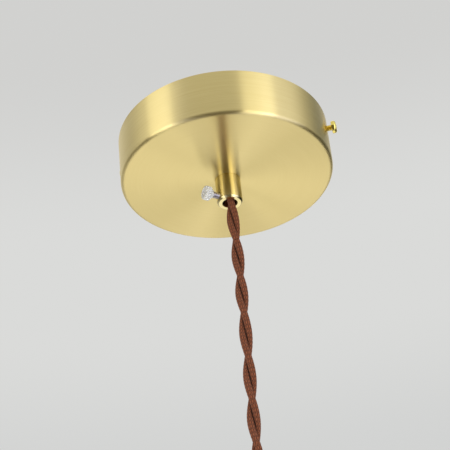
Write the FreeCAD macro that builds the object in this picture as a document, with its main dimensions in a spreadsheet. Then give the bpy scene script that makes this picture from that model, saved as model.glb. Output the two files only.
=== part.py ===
import FreeCAD, Part
import math
import os

import Sketcher

# A pendant's ceiling cup with its cord grip, its twisted cord and a lampholder.
# Millimetres, Z up. The origin is on the ceiling, over the middle of the cup, and
# everything hangs below it. X runs along the two side screws.

DRIVING_SIZES = [
    # the turned cup
    ("canopy_diameter", 100.0),
    ("canopy_height", 24.5),
    ("canopy_wall", 1.0),
    ("canopy_corner", 1.2),
    # the screws through its wall
    ("side_screw_drop", 7.8),
    ("side_screw_thread", 3.0),
    ("side_screw_length", 8.0),
    ("side_screw_head", 6.0),
    ("side_screw_head_height", 2.2),
    ("side_screw_recess_depth", 1.3),
    ("side_screw_recess_width", 0.9),
    ("side_screw_recess_arm", 1.8),
    ("side_screw_head_round", 0.88),
    ("side_screw_tip", 0.375),
    ("side_screw_seat_gap", 0.3),
    ("side_screw_backed_out", 2.1),
    ("side_boss_diameter", 7.0),
    ("side_boss_length", 2.5),
    # the strip on the ceiling
    ("bracket_width", 20.0),
    ("bracket_thickness", 1.5),
    ("bracket_ear_length", 12.5),
    ("bracket_bend", 1.2),
    ("bracket_slot_spacing", 50.0),
    ("bracket_slot_length", 14.0),
    ("bracket_slot_width", 4.5),
    ("bracket_cable_hole", 12.0),
    # the hollow nipple and what it clamps
    ("nipple_diameter", 10.0),
    ("nipple_bore", 7.0),
    ("nipple_stand", 0.8),
    ("nipple_nut_flats", 14.0),
    ("nipple_nut_height", 3.0),
    ("lock_washer_diameter", 15.5),
    ("lock_washer_thickness", 0.8),
    ("lock_washer_tooth", 1.2),
    ("earth_lug_diameter", 15.0),
    ("earth_lug_thickness", 0.8),
    ("earth_lug_tongue", 4.4),
    ("earth_lug_crimp", 3.4),
    ("earth_lug_crimp_length", 5.0),
    ("earth_lug_reach", 14.0),
    ("earth_lug_azimuth", 120.0),
    ("earth_lead_diameter", 2.2),
    ("earth_lead_grip", 4.0),
    ("earth_lead_bend", 3.2),
    ("earth_lead_run_in", 4.5),
    # the cord grip
    ("grip_diameter", 12.0),
    ("grip_length", 13.4),
    ("grip_bore", 7.0),
    ("grip_socket_depth", 6.0),
    ("grip_edge", 0.8),
    ("grip_screw_drop", 10.9),
    ("grip_screw_azimuth", 223.9),
    ("grip_screw_thread", 3.0),
    ("grip_screw_tip", 0.375),
    ("knob_diameter", 7.0),
    ("knob_length", 4.8),
    ("knob_standoff", 3.3),
    ("knob_stud_depth", 3.6),
    ("knob_edge", 0.6),
    ("knob_flute", 1.1),
    # the cord
    ("core_diameter", 2.9),
    ("cord_lean", 0.3),
    ("cord_travel", 11.0),
    ("cord_grip_hold", 0.9),
    ("cord_drop_length", 138.0),
    ("cores_part_drop", 12.0),
    ("core_arch_clearance", 0.5),
    ("core_arch_reach", 11.5),
    ("core_arch_fall", 1.0),
    ("core_arch_spread", 0.6),
    ("core_bend_setback", 6.5),
    # the terminal block inside the cup
    ("block_distance", 23.0),
    ("block_width", 17.0),
    ("block_base_height", 8.0),
    ("block_end", 1.0),
    ("block_pitch", 8.0),
    ("block_tower_height", 3.5),
    ("block_tower_diameter", 5.6),
    ("block_tower_spacing", 8.4),
    ("block_entry_diameter", 3.4),
    ("block_entry_depth", 1.0),
    ("barrel_height", 5.0),
    ("barrel_diameter", 4.6),
    ("barrel_bore", 2.8),
    ("barrel_length", 14.0),
    ("terminal_screw_diameter", 2.5),
    ("terminal_screw_slot", 0.5),
    ("ferrule_diameter", 1.6),
    ("ferrule_length", 10.0),
    # the lampholder
    ("holder_sleeve_diameter", 12.0),
    ("holder_sleeve_length", 12.0),
    ("holder_sleeve_bore", 7.0),
    ("holder_socket_depth", 6.0),
    ("holder_wall", 0.8),
    ("holder_cap_diameter", 40.0),
    ("holder_cap_height", 18.0),
    ("holder_cap_shoulder", 7.0),
    ("holder_shell_diameter", 38.0),
    ("holder_shell_length", 36.0),
    ("holder_shell_engaged", 5.0),
    ("holder_shell_lip", 2.8),
    ("holder_insulator_height", 34.0),
    ("holder_insulator_floor", 10.0),
    ("holder_thread_bore", 26.2),
    ("holder_thread_wall", 0.4),
    ("holder_thread_start", 4.0),
    ("holder_thread_length", 18.0),
    ("holder_contact_width", 5.0),
    ("holder_contact_thickness", 0.5),
    ("holder_contact_rise", 3.0),
    ("holder_contact_foot", 5.0),
    ("holder_contact_slope", 2.5),
    ("holder_contact_pad", 4.0),
    ("holder_contact_overhang", 2.5),
    ("holder_core_spacing", 10.0),
    ("holder_core_depth", 4.0),
    ("holder_core_straight", 2.2),
    ("holder_core_bend", 2.5),
    # clearances
    ("thread_clearance", 0.05),
    ("tip_clearance", 0.05),
    ("hole_clearance", 0.2),
    ("fit_clearance", 0.05),
]

POLES = 3
ROWS = 2
KNOB_FLUTES = 14
WASHER_TEETH = 12
LARGEST_HOLE = 400.0

doc = FreeCAD.newDocument("PendantCeilingCup")
dim = doc.addObject("Spreadsheet::Sheet", "Dim")
for row, (alias, size) in enumerate(DRIVING_SIZES, 1):
    dim.set(f"A{row}", alias)
    dim.set(f"B{row}", str(size))
    dim.setAlias(f"B{row}", alias)
doc.recompute()

NODES = []

# Formulas that several pieces share.
CUP_RADIUS = "Dim.canopy_diameter / 2"
CUP_INSIDE = f"({CUP_RADIUS} - Dim.canopy_wall)"
PLATE_Z = "(-Dim.canopy_height)"
FLOOR_Z = f"({PLATE_Z} + Dim.canopy_wall)"
TIGHT_HEAD = f"({CUP_RADIUS} + Dim.side_screw_seat_gap)"
EAR_OUTSIDE = f"({TIGHT_HEAD} - Dim.side_screw_length - Dim.tip_clearance)"
LUG_Z = FLOOR_Z
WASHER_Z = f"({FLOOR_Z} + Dim.earth_lug_thickness)"
NUT_Z = f"({WASHER_Z} + Dim.lock_washer_thickness)"
NIPPLE_TOP_Z = f"({NUT_Z} + Dim.nipple_nut_height + Dim.nipple_stand)"
NIPPLE_HOLE = "(Dim.nipple_diameter / 2 + Dim.hole_clearance)"
MOUTH_Z = f"({PLATE_Z} - Dim.grip_length)"
GRIP_SCREW_Z = f"({PLATE_Z} - Dim.grip_screw_drop)"
CORD_DIAMETER = "(2 * Dim.core_diameter)"
CORD_X = "(-Dim.cord_lean * cos(Dim.grip_screw_azimuth * 1deg))"
CORD_Y = "(-Dim.cord_lean * sin(Dim.grip_screw_azimuth * 1deg))"
CORD_TOP_Z = f"({MOUTH_Z} + Dim.cord_travel + Dim.cord_grip_hold)"
CORES_PART_Z = "(-Dim.cores_part_drop)"
BLOCK_LENGTH = f"({POLES} * Dim.block_pitch + 2 * Dim.block_end)"
BARREL_Z = f"({FLOOR_Z} + Dim.barrel_height)"
BARREL_START = "(Dim.block_distance + (Dim.block_width - Dim.barrel_length) / 2)"
BLOCK_TOP_Z = f"({FLOOR_Z} + Dim.block_base_height + Dim.block_tower_height)"
HOLDER_Z = f"({MOUTH_Z} - Dim.cord_drop_length)"
CAP_Z = f"({HOLDER_Z} - Dim.holder_sleeve_length)"
HOLDER_NUT_Z = f"({CAP_Z} - Dim.holder_wall - Dim.nipple_nut_height)"
SHELL_TOP_Z = f"({CAP_Z} - Dim.holder_cap_height + Dim.holder_shell_engaged)"
SHELL_BOTTOM_Z = f"({SHELL_TOP_Z} - Dim.holder_shell_length)"
INSULATOR_Z = f"({SHELL_BOTTOM_Z} + Dim.holder_wall)"
INSULATOR_TOP_Z = f"({INSULATOR_Z} + Dim.holder_insulator_height)"
SOCKET_FLOOR_Z = f"({INSULATOR_TOP_Z} - Dim.holder_insulator_floor)"
HOLDER_CORD_END_Z = f"({HOLDER_Z} - Dim.holder_sleeve_length + Dim.holder_socket_depth / 3)"


def value(formula):
    """The number that a formula of sizes comes to now."""
    result = dim.evalExpression(formula)
    return float(getattr(result, "Value", result))


def bind(item, **formulas):
    """Ties each property to its formula; Base_x stands for Placement.Base.x."""
    for name, formula in formulas.items():
        path = f"Placement.Base.{name[-1]}" if name.startswith("Base_") else name
        item.setExpression(path, formula)
    return item


def node(item, label):
    """Marks an object as a sub-part: its label names its file."""
    item.Label = label
    NODES.append(item)
    return item


def place(item, x="0", y="0", z="0", axis=(0, 0, 1), angle=0.0):
    turn = FreeCAD.Rotation(FreeCAD.Vector(*axis), angle)
    item.Placement = FreeCAD.Placement(FreeCAD.Vector(0, 0, 0), turn)
    return bind(item, Base_x=x, Base_y=y, Base_z=z)


# Primitives and booleans ---------------------------------------------------------


def cylinder(name, radius, height, x="0", y="0", z="0", axis=(0, 0, 1), angle=0.0):
    item = doc.addObject("Part::Cylinder", name)
    bind(item, Radius=radius, Height=height)
    return place(item, x, y, z, axis, angle)


def box(name, length, width, height, x="0", y="0", z="0"):
    item = doc.addObject("Part::Box", name)
    bind(item, Length=length, Width=width, Height=height)
    return place(item, x, y, z)


def cut(name, base, tool):
    item = doc.addObject("Part::Cut", name)
    item.Base = base
    item.Tool = tool
    return item


def fuse(name, pieces):
    item = doc.addObject("Part::MultiFuse", name)
    item.Shapes = pieces
    item.Refine = True
    return item


def group(name, pieces):
    item = doc.addObject("Part::Compound", name)
    item.Links = pieces
    return item


def tube(name, outer, inner, length, z):
    """An upright tube from z upwards, by its two radii."""
    outside = cylinder(f"{name}Outside", outer, length, z=z)
    inside = cylinder(f"{name}Inside", inner, f"{length} + 2", z=f"{z} - 1")
    return cut(name, outside, inside)


# Sketches and features -----------------------------------------------------------


def origin_plane(body, role):
    return next(item for item in body.Origin.OriginFeatures if item.Role == role)


def new_sketch(body, name, role):
    sketch = body.newObject("Sketcher::SketchObject", name)
    sketch.AttachmentSupport = (origin_plane(body, role), [""])
    sketch.MapMode = "FlatFace"
    return sketch


def pin(sketch, edge, end, x, y):
    """Holds one point of a sketch at the place that two formulas give."""
    for kind, formula in (("DistanceX", x), ("DistanceY", y)):
        rule = Sketcher.Constraint(kind, -1, 1, edge, end, value(formula))
        number = sketch.addConstraint(rule)
        sketch.setExpression(f"Constraints[{number}]", formula)


def outline(body, name, role, points):
    """A closed outline through points, each a pair of formulas."""
    sketch = new_sketch(body, name, role)
    places = [FreeCAD.Vector(value(x), value(y), 0) for x, y in points]
    for start, end in zip(places, places[1:] + places[:1]):
        sketch.addGeometry(Part.LineSegment(start, end), False)
    count = len(points)
    for edge in range(count):
        sketch.addConstraint(Sketcher.Constraint("Coincident", edge, 2, (edge + 1) % count, 1))
    for edge, (x, y) in enumerate(points):
        pin(sketch, edge, 1, x, y)
    return sketch


def circles(body, name, role, rounds):
    """Circles in one sketch, each given as formulas for x, y and radius."""
    sketch = new_sketch(body, name, role)
    for edge, (x, y, radius) in enumerate(rounds):
        middle = FreeCAD.Vector(value(x), value(y), 0)
        sketch.addGeometry(Part.Circle(middle, FreeCAD.Vector(0, 0, 1), value(radius)), False)
        number = sketch.addConstraint(Sketcher.Constraint("Radius", edge, value(radius)))
        sketch.setExpression(f"Constraints[{number}]", radius)
        pin(sketch, edge, 3, x, y)
    return sketch


def new_body(name):
    return doc.addObject("PartDesign::Body", name)


def turned(body, points):
    """A solid turned about Z from an outline of radius and height."""
    profile = outline(body, f"{body.Name}Profile", "XZ_Plane", points)
    feature = body.newObject("PartDesign::Revolution", f"{body.Name}Turned")
    feature.Profile = (profile, [""])
    feature.ReferenceAxis = (profile, ["V_Axis"])
    feature.Angle = 360
    doc.recompute()
    return feature


def padded(body, sketch, length):
    """A solid of even thickness, half to each side of its sketch."""
    feature = body.newObject("PartDesign::Pad", f"{sketch.Name}Pad")
    feature.Profile = (sketch, [""])
    feature.SideType = "Symmetric"
    bind(feature, Length=length)
    doc.recompute()
    return feature


def pocket(body, sketch, length=None, reverse=False):
    """A cut through everything, or to a depth on one side of its sketch."""
    before = body.Tip.Shape.Volume
    feature = body.newObject("PartDesign::Pocket", f"{sketch.Name}Pocket")
    feature.Profile = (sketch, [""])
    if length is None:
        feature.SideType = "Symmetric"
        feature.Length = LARGEST_HOLE
    else:
        feature.Reversed = reverse
        bind(feature, Length=length)
    doc.recompute()
    if feature.Shape.Volume >= before - 1e-6:
        raise RuntimeError(f"{sketch.Name} cuts nothing")
    return feature


def polar(body, feature, count):
    pattern = body.newObject("PartDesign::PolarPattern", f"{feature.Name}Ring")
    pattern.Originals = [feature]
    axis = next(item for item in body.Origin.OriginFeatures if item.Role == "Z_Axis")
    pattern.Axis = (axis, [""])
    pattern.Angle = 360
    pattern.Occurrences = count
    body.Tip = pattern
    doc.recompute()
    return pattern


def ring_edges(feature, radius, height):
    """Names of the feature's circular edges about Z with this radius at this height."""
    found = []
    for number, edge in enumerate(feature.Shape.Edges, 1):
        curve = edge.Curve
        if not isinstance(curve, Part.Circle) or abs(curve.Radius - radius) > 1e-4:
            continue
        if abs(curve.Center.z - height) < 1e-4 and abs(curve.Axis.z) > 0.99:
            found.append(f"Edge{number}")
    return found


def straight_edges(feature, x, z):
    """Names of the edges along Y that pass through this x and z."""
    found = []
    for number, edge in enumerate(feature.Shape.Edges, 1):
        middle = edge.BoundBox.Center
        level = edge.BoundBox.XLength < 1e-4 and edge.BoundBox.ZLength < 1e-4
        if level and abs(abs(middle.x) - x) < 1e-4 and abs(middle.z - z) < 1e-4:
            found.append(f"Edge{number}")
    return found


def rounded(body, kind, feature, edges, size):
    """A fillet or chamfer on the named edges of a feature."""
    finish = body.newObject(f"PartDesign::{kind}", f"{body.Name}{kind}{len(body.Group)}")
    finish.Base = (feature, edges)
    bind(finish, **{"Radius" if kind == "Fillet" else "Size": size})
    doc.recompute()
    return finish


# Wires and cores -----------------------------------------------------------------


def route(points):
    """Straight runs joined by tangent arcs, each as large as its two runs allow."""
    places = [FreeCAD.Vector(*point) for point in points]
    edges = []
    radii = []
    start = places[0]
    for before, corner, after in zip(places, places[1:], places[2:]):
        into = (corner - before).normalize()
        away = (after - corner).normalize()
        turn = math.acos(max(-1.0, min(1.0, into.dot(away))))
        shorter = min((corner - before).Length, (after - corner).Length)
        tangent = 0.45 * shorter
        radius = tangent / math.tan(turn / 2)
        first = corner - into * tangent
        last = corner + away * tangent
        inward = (away - into).normalize()
        middle = corner + inward * (radius / math.cos(turn / 2) - radius)
        edges.append(Part.LineSegment(start, first).toShape())
        edges.append(Part.Arc(first, middle, last).toShape())
        radii.append(round(radius, 2))
        start = last
    edges.append(Part.LineSegment(start, places[-1]).toShape())
    return Part.Wire(edges), radii


def wire_solid(label, points, diameter):
    """A round wire along a route, with its bend radii and its volume compared."""
    path, radii = route(points)
    first = FreeCAD.Vector(*points[0])
    heading = FreeCAD.Vector(*points[1]) - first
    circle = Part.Wire([Part.makeCircle(diameter / 2, first, heading)])
    solid = path.makePipeShell([circle], True, False)
    section = math.pi * diameter**2 / 4
    share = solid.Volume / (section * path.Length)
    print(f"{label}: length {path.Length:.1f}, radii {radii}, volume share {share:.4f}")
    return solid


def wire_node(label, points, diameter):
    item = doc.addObject("Part::Feature", label.title().replace("_", ""))
    item.Shape = wire_solid(label, points, diameter)
    item.Placement = FreeCAD.Placement()
    return node(item, label)


# The strip on the ceiling --------------------------------------------------------


def make_bracket():
    """A steel strip whose two ears hang down inside the cup for the side screws."""
    body = new_body("MountingBracket")
    thick = "Dim.bracket_thickness"
    low = "-Dim.bracket_ear_length"
    inside = f"({EAR_OUTSIDE} - {thick})"
    points = [
        (f"-{EAR_OUTSIDE}", "0"),
        (EAR_OUTSIDE, "0"),
        (EAR_OUTSIDE, low),
        (inside, low),
        (inside, f"-{thick}"),
        (f"-{inside}", f"-{thick}"),
        (f"-{inside}", low),
        (f"-{EAR_OUTSIDE}", low),
    ]
    strip = padded(body, outline(body, "StripOutline", "XZ_Plane", points), "Dim.bracket_width")
    outer = straight_edges(strip, value(EAR_OUTSIDE), 0.0)
    bent = rounded(body, "Fillet", strip, outer, f"Dim.bracket_bend + {thick}")
    inner = straight_edges(bent, value(inside), -value(thick))
    rounded(body, "Fillet", bent, inner, "Dim.bracket_bend")
    half_slot = "(Dim.bracket_slot_length - Dim.bracket_slot_width) / 2"
    half_width = "Dim.bracket_slot_width / 2"
    rounds = [("0", "0", "Dim.bracket_cable_hole / 2")]
    for side in ("-", ""):
        middle = f"{side}Dim.bracket_slot_spacing / 2"
        corners = [
            (f"{middle} - {half_slot}", f"-{half_width}"),
            (f"{middle} + {half_slot}", f"-{half_width}"),
            (f"{middle} + {half_slot}", half_width),
            (f"{middle} - {half_slot}", half_width),
        ]
        name = "SlotLeft" if side else "SlotRight"
        pocket(body, outline(body, name, "XY_Plane", corners))
    for end in ("-", "+"):
        for side in ("-", ""):
            middle = f"{side}Dim.bracket_slot_spacing / 2 {end} {half_slot}"
            rounds.append((middle, "0", half_width))
    pocket(body, circles(body, "CableHoleAndSlotEnds", "XY_Plane", rounds))
    return node(body, "mounting_bracket")


# The cup and its side screws -----------------------------------------------------


def make_canopy_cup():
    """The turned cup: open towards the ceiling, with a hole for the nipple."""
    body = new_body("CanopyCup")
    points = [
        (NIPPLE_HOLE, PLATE_Z),
        (CUP_RADIUS, PLATE_Z),
        (CUP_RADIUS, "0"),
        (CUP_INSIDE, "0"),
        (CUP_INSIDE, FLOOR_Z),
        (NIPPLE_HOLE, FLOOR_Z),
    ]
    cup = turned(body, points)
    corner = ring_edges(cup, value(CUP_RADIUS), value(PLATE_Z))
    cup = rounded(body, "Fillet", cup, corner, "Dim.canopy_corner")
    inner = ring_edges(cup, value(CUP_INSIDE), value(FLOOR_Z))
    rounded(body, "Fillet", cup, inner, "Dim.canopy_corner / 2")
    hole = "Dim.side_screw_thread / 2 + Dim.thread_clearance"
    pocket(body, circles(body, "SideHoles", "YZ_Plane", [("0", "-Dim.side_screw_drop", hole)]))
    return node(body, "canopy_cup")


def make_side_nuts():
    """Two threaded bosses, seated on the inside of the cup's wall."""
    low = "-Dim.side_screw_drop"
    inner_end = f"({CUP_INSIDE} - Dim.side_boss_length)"
    radius = "Dim.side_boss_diameter / 2"
    bosses = []
    for side, angle in (("Right", 90.0), ("Left", -90.0)):
        sign = "" if side == "Right" else "-"
        length = "Dim.side_boss_length + Dim.canopy_wall"
        name = f"Boss{side}"
        bar = cylinder(f"{name}Bar", radius, length, f"{sign}{inner_end}", "0", low, (0, 1, 0), angle)
        bosses.append(bar)
    bars = fuse("BossBars", bosses)
    room = cylinder("BossRoom", CUP_INSIDE, "Dim.canopy_height", z=PLATE_Z)
    seated = doc.addObject("Part::Common", "BossesSeated")
    seated.Base = bars
    seated.Tool = room
    bore = "Dim.side_screw_thread / 2 + Dim.thread_clearance"
    across = cylinder("BossBore", bore, "Dim.canopy_diameter", f"-{CUP_RADIUS}", "0", low, (0, 1, 0), 90.0)
    return node(cut("SideScrewNuts", seated, across), "side_screw_nuts")


def make_side_screw(label, sign, stand_off):
    """A pan-head screw with a cross recess; its axis is horizontal, head outwards."""
    body = new_body(label.title().replace("_", ""))
    shank = "Dim.side_screw_thread / 2"
    head = "Dim.side_screw_head / 2"
    tip = "Dim.side_screw_tip"
    points = [
        ("0", "-Dim.side_screw_length"),
        (f"{shank} - {tip}", "-Dim.side_screw_length"),
        (shank, f"-Dim.side_screw_length + {tip}"),
        (shank, "0"),
        (head, "0"),
        (head, "Dim.side_screw_head_height"),
        ("0", "Dim.side_screw_head_height"),
    ]
    screw = turned(body, points)
    top = ring_edges(screw, value(head), value("Dim.side_screw_head_height"))
    rounded(body, "Fillet", screw, top, "Dim.side_screw_head_round")
    half = "Dim.side_screw_recess_width / 2"
    arm = "Dim.side_screw_recess_arm"
    cross = [
        (half, half), (arm, half), (arm, f"-{half}"), (half, f"-{half}"),
        (half, f"-{arm}"), (f"-{half}", f"-{arm}"), (f"-{half}", f"-{half}"), (f"-{arm}", f"-{half}"),
        (f"-{arm}", half), (f"-{half}", half), (f"-{half}", arm), (half, arm),
    ]
    sketch = outline(body, f"{body.Name}Recess", "XY_Plane", cross)
    bottom = "Dim.side_screw_head_height - Dim.side_screw_recess_depth"
    sketch.setExpression("AttachmentOffset.Base.z", bottom)
    pocket(body, sketch, "Dim.side_screw_recess_depth", reverse=True)
    place(body, f"{sign}({stand_off})", "0", "-Dim.side_screw_drop", (0, 1, 0), float(f"{sign}90"))
    return node(body, label)


# The nipple and what it clamps ---------------------------------------------------

LEAD_START = "(Dim.earth_lug_reach - Dim.earth_lead_grip)"


def make_nipple():
    """A threaded tube that joins the grip to the cup through the cup's floor."""
    bottom = f"({PLATE_Z} - Dim.grip_socket_depth + Dim.hole_clearance)"
    length = f"({NIPPLE_TOP_Z} - {bottom})"
    item = tube("HollowNipple", "Dim.nipple_diameter / 2", "Dim.nipple_bore / 2", length, bottom)
    return node(item, "hollow_nipple")


def hex_nut(name, z):
    blank = doc.addObject("Part::Prism", f"{name}Blank")
    blank.Polygon = 6
    bind(blank, Circumradius="Dim.nipple_nut_flats / sqrt(3)", Height="Dim.nipple_nut_height")
    place(blank, z=z)
    radius = "Dim.nipple_diameter / 2 + Dim.thread_clearance"
    hole = cylinder(f"{name}Hole", radius, "Dim.nipple_nut_height + 2", z=f"{z} - 1")
    return cut(name, blank, hole)


def make_lock_washer():
    """A thin washer with teeth around its outside."""
    body = new_body("LockWasher")
    inside = "Dim.nipple_diameter / 2 + Dim.hole_clearance"
    outside = "Dim.lock_washer_diameter / 2"
    points = [
        (inside, "0"),
        (outside, "0"),
        (outside, "Dim.lock_washer_thickness"),
        (inside, "Dim.lock_washer_thickness"),
    ]
    turned(body, points)
    notch = circles(body, "ToothNotch", "XY_Plane", [(outside, "0", "Dim.lock_washer_tooth / 2")])
    polar(body, pocket(body, notch), WASHER_TEETH)
    place(body, z=WASHER_Z)
    return node(body, "lock_washer")


def make_earth_lug():
    """A ring terminal with a tongue and a crimped barrel for the earth lead."""
    thick = "Dim.earth_lug_thickness"
    radius = "Dim.earth_lug_diameter / 2"
    crimp = "Dim.earth_lug_crimp / 2"
    crimp_start = "(Dim.earth_lug_reach - Dim.earth_lug_crimp_length)"
    ring = cylinder("LugRing", radius, thick)
    tongue = box("LugTongue", crimp_start, "Dim.earth_lug_tongue", thick, y="-Dim.earth_lug_tongue / 2")
    depth = "Dim.earth_lug_crimp_length"
    barrel = cylinder("LugBarrel", crimp, depth, crimp_start, "0", crimp, (0, 1, 0), 90.0)
    hole = cylinder("LugHole", "Dim.nipple_diameter / 2 + Dim.hole_clearance", f"{thick} + 2", z="-1")
    bore = "Dim.earth_lead_diameter / 2 + Dim.fit_clearance"
    entry = cylinder("LugBore", bore, depth, LEAD_START, "0", crimp, (0, 1, 0), 90.0)
    item = cut("EarthLug", fuse("LugBody", [ring, tongue, barrel]), fuse("LugCuts", [hole, entry]))
    bind(item, Base_z=LUG_Z)
    item.setExpression("Placement.Rotation.Angle", "Dim.earth_lug_azimuth * 1deg")
    return node(item, "earth_lug")


# The cord grip and its screw -----------------------------------------------------


def make_grip_sleeve():
    """A plain sleeve: a socket for the nipple above, the cord's bore below."""
    body = new_body("GripSleeve")
    socket = "(Dim.nipple_diameter / 2 + Dim.fit_clearance)"
    outside = "Dim.grip_diameter / 2"
    points = [
        (socket, "0"),
        (outside, "0"),
        (outside, "-Dim.grip_length"),
        ("Dim.grip_bore / 2", "-Dim.grip_length"),
        ("Dim.grip_bore / 2", "-Dim.grip_socket_depth"),
        (socket, "-Dim.grip_socket_depth"),
    ]
    sleeve = turned(body, points)
    lower = ring_edges(sleeve, value(outside), -value("Dim.grip_length"))
    rounded(body, "Chamfer", sleeve, lower, "Dim.grip_edge")
    hole = "Dim.grip_screw_thread / 2 + Dim.thread_clearance"
    sketch = circles(body, "GripScrewHole", "YZ_Plane", [("0", "-Dim.grip_screw_drop", hole)])
    pocket(body, sketch, "Dim.grip_diameter", reverse=True)
    bind(body, Base_z=PLATE_Z)
    body.setExpression("Placement.Rotation.Angle", "Dim.grip_screw_azimuth * 1deg")
    return node(body, "grip_sleeve")


def outward(item):
    """Turns a piece made along Z so that it points out along the grip screw."""
    turn = FreeCAD.Rotation(FreeCAD.Vector(0, 0, 1), value("Dim.grip_screw_azimuth"))
    tip = FreeCAD.Rotation(FreeCAD.Vector(0, 1, 0), 90.0)
    item.Placement = FreeCAD.Placement(FreeCAD.Vector(0, 0, 0), turn * tip)
    return bind(item, Base_z=GRIP_SCREW_Z)


KNOB_FACE = "(Dim.grip_diameter / 2 + Dim.knob_standoff)"
STUD_END = f"({KNOB_FACE} + Dim.knob_stud_depth)"
STUD_TIP = f"({CORD_DIAMETER} / 2 - Dim.cord_lean + 2 * Dim.tip_clearance)"


def make_grip_stud():
    """The threaded stud that pinches the cord against the far side of the bore."""
    body = new_body("GripScrewStud")
    radius = "Dim.grip_screw_thread / 2"
    tip = "Dim.grip_screw_tip"
    points = [
        ("0", STUD_TIP),
        (f"{radius} - {tip}", STUD_TIP),
        (radius, f"{STUD_TIP} + {tip}"),
        (radius, STUD_END),
        ("0", STUD_END),
    ]
    turned(body, points)
    return node(outward(body), "grip_screw_stud")


def make_grip_knob():
    """The clear knob that turns the stud, fluted for the fingers."""
    body = new_body("GripScrewKnob")
    radius = "Dim.knob_diameter / 2"
    bore = "(Dim.grip_screw_thread / 2 + Dim.fit_clearance)"
    bore_end = f"({STUD_END} + Dim.fit_clearance)"
    outer = f"({KNOB_FACE} + Dim.knob_length)"
    points = [
        (bore, KNOB_FACE),
        (f"{radius} - Dim.knob_edge", KNOB_FACE),
        (radius, f"{KNOB_FACE} + Dim.knob_edge"),
        (radius, f"{outer} - Dim.knob_edge"),
        (f"{radius} - Dim.knob_edge", outer),
        ("0", outer),
        ("0", bore_end),
        (bore, bore_end),
    ]
    turned(body, points)
    edge = f"{radius} + Dim.knob_flute / 4"
    flute = circles(body, "KnobFlute", "XY_Plane", [(edge, "0", "Dim.knob_flute / 2")])
    polar(body, pocket(body, flute), KNOB_FLUTES)
    return node(outward(body), "grip_screw_knob")


# The cord ------------------------------------------------------------------------


def make_cord():
    """The free drop, and the stretch above it where the slack is taken up."""
    radius = f"{CORD_DIAMETER} / 2"
    length = f"{CORD_TOP_Z} - {HOLDER_CORD_END_Z}"
    drop = cylinder("CordDrop", radius, length, CORD_X, CORD_Y, HOLDER_CORD_END_Z)
    node(drop, "cord_drop")
    length = f"{CORES_PART_Z} - {CORD_TOP_Z}"
    inside = cylinder("CordInGrip", radius, length, CORD_X, CORD_Y, CORD_TOP_Z)
    node(inside, "cord_in_grip")


def make_core_tails():
    """The two cores part above the nipple and arch over into the block."""
    radius = value("Dim.core_diameter / 2")
    cord_x = value(CORD_X)
    cord_y = value(CORD_Y)
    low = value(CORES_PART_Z)
    high = -value("Dim.core_arch_clearance") - 3 * radius
    arch_z = high - value("Dim.core_arch_fall")
    arch_y = value("Dim.block_distance - Dim.core_arch_reach")
    spread = value("Dim.core_arch_spread")
    barrel_z = value(BARREL_Z)
    entry = value("Dim.block_distance + Dim.block_entry_depth")
    bend = value("Dim.block_distance - Dim.core_bend_setback")
    pitch = value("Dim.block_pitch")
    for label, side, pole_x in (("neutral_core_tail", -1, 0.0), ("line_core_tail", 1, pitch)):
        start_x = cord_x + side * radius
        across = start_x + spread * (pole_x - start_x)
        points = [
            (start_x, cord_y, low),
            (start_x, cord_y, high),
            (across, arch_y, arch_z),
            (pole_x, bend, barrel_z),
            (pole_x, entry, barrel_z),
        ]
        wire_node(label, points, 2 * radius)


# The terminal block --------------------------------------------------------------


def pole_x(pole):
    return f"({pole - (POLES - 1) / 2} * Dim.block_pitch)"


def row_y(row):
    middle = "Dim.block_distance + Dim.block_width / 2"
    return f"({middle} + {row - (ROWS - 1) / 2} * Dim.block_tower_spacing)"


def make_terminal_block():
    """A three-pole block with a tower over each screw."""
    base = box(
        "BlockBase", BLOCK_LENGTH, "Dim.block_width", "Dim.block_base_height",
        f"-{BLOCK_LENGTH} / 2", "Dim.block_distance", FLOOR_Z,
    )
    tower_z = f"({FLOOR_Z} + Dim.block_base_height)"
    solids = [base]
    holes = []
    for pole in range(POLES):
        x = pole_x(pole)
        bore = "Dim.barrel_diameter / 2 + Dim.fit_clearance"
        length = "Dim.barrel_length + 2 * Dim.fit_clearance"
        start = f"{BARREL_START} - Dim.fit_clearance"
        holes.append(cylinder(f"BlockBore{pole}", bore, length, x, start, BARREL_Z, (1, 0, 0), -90.0))
        entry = "Dim.block_entry_diameter / 2"
        through = "Dim.block_width + 2"
        start = "Dim.block_distance - 1"
        holes.append(cylinder(f"BlockEntry{pole}", entry, through, x, start, BARREL_Z, (1, 0, 0), -90.0))
        for row in range(ROWS):
            y = row_y(row)
            name = f"{pole}{row}"
            radius = "Dim.block_tower_diameter / 2"
            height = "Dim.block_tower_height"
            solids.append(cylinder(f"BlockTower{name}", radius, height, x, y, tower_z))
            radius = "Dim.terminal_screw_diameter / 2 + Dim.thread_clearance"
            height = f"{BLOCK_TOP_Z} - {BARREL_Z} + 1"
            holes.append(cylinder(f"BlockShaft{name}", radius, height, x, y, BARREL_Z))
    block = cut("TerminalBlock", fuse("BlockSolid", solids), fuse("BlockHoles", holes))
    node(block, "terminal_block")


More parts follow.
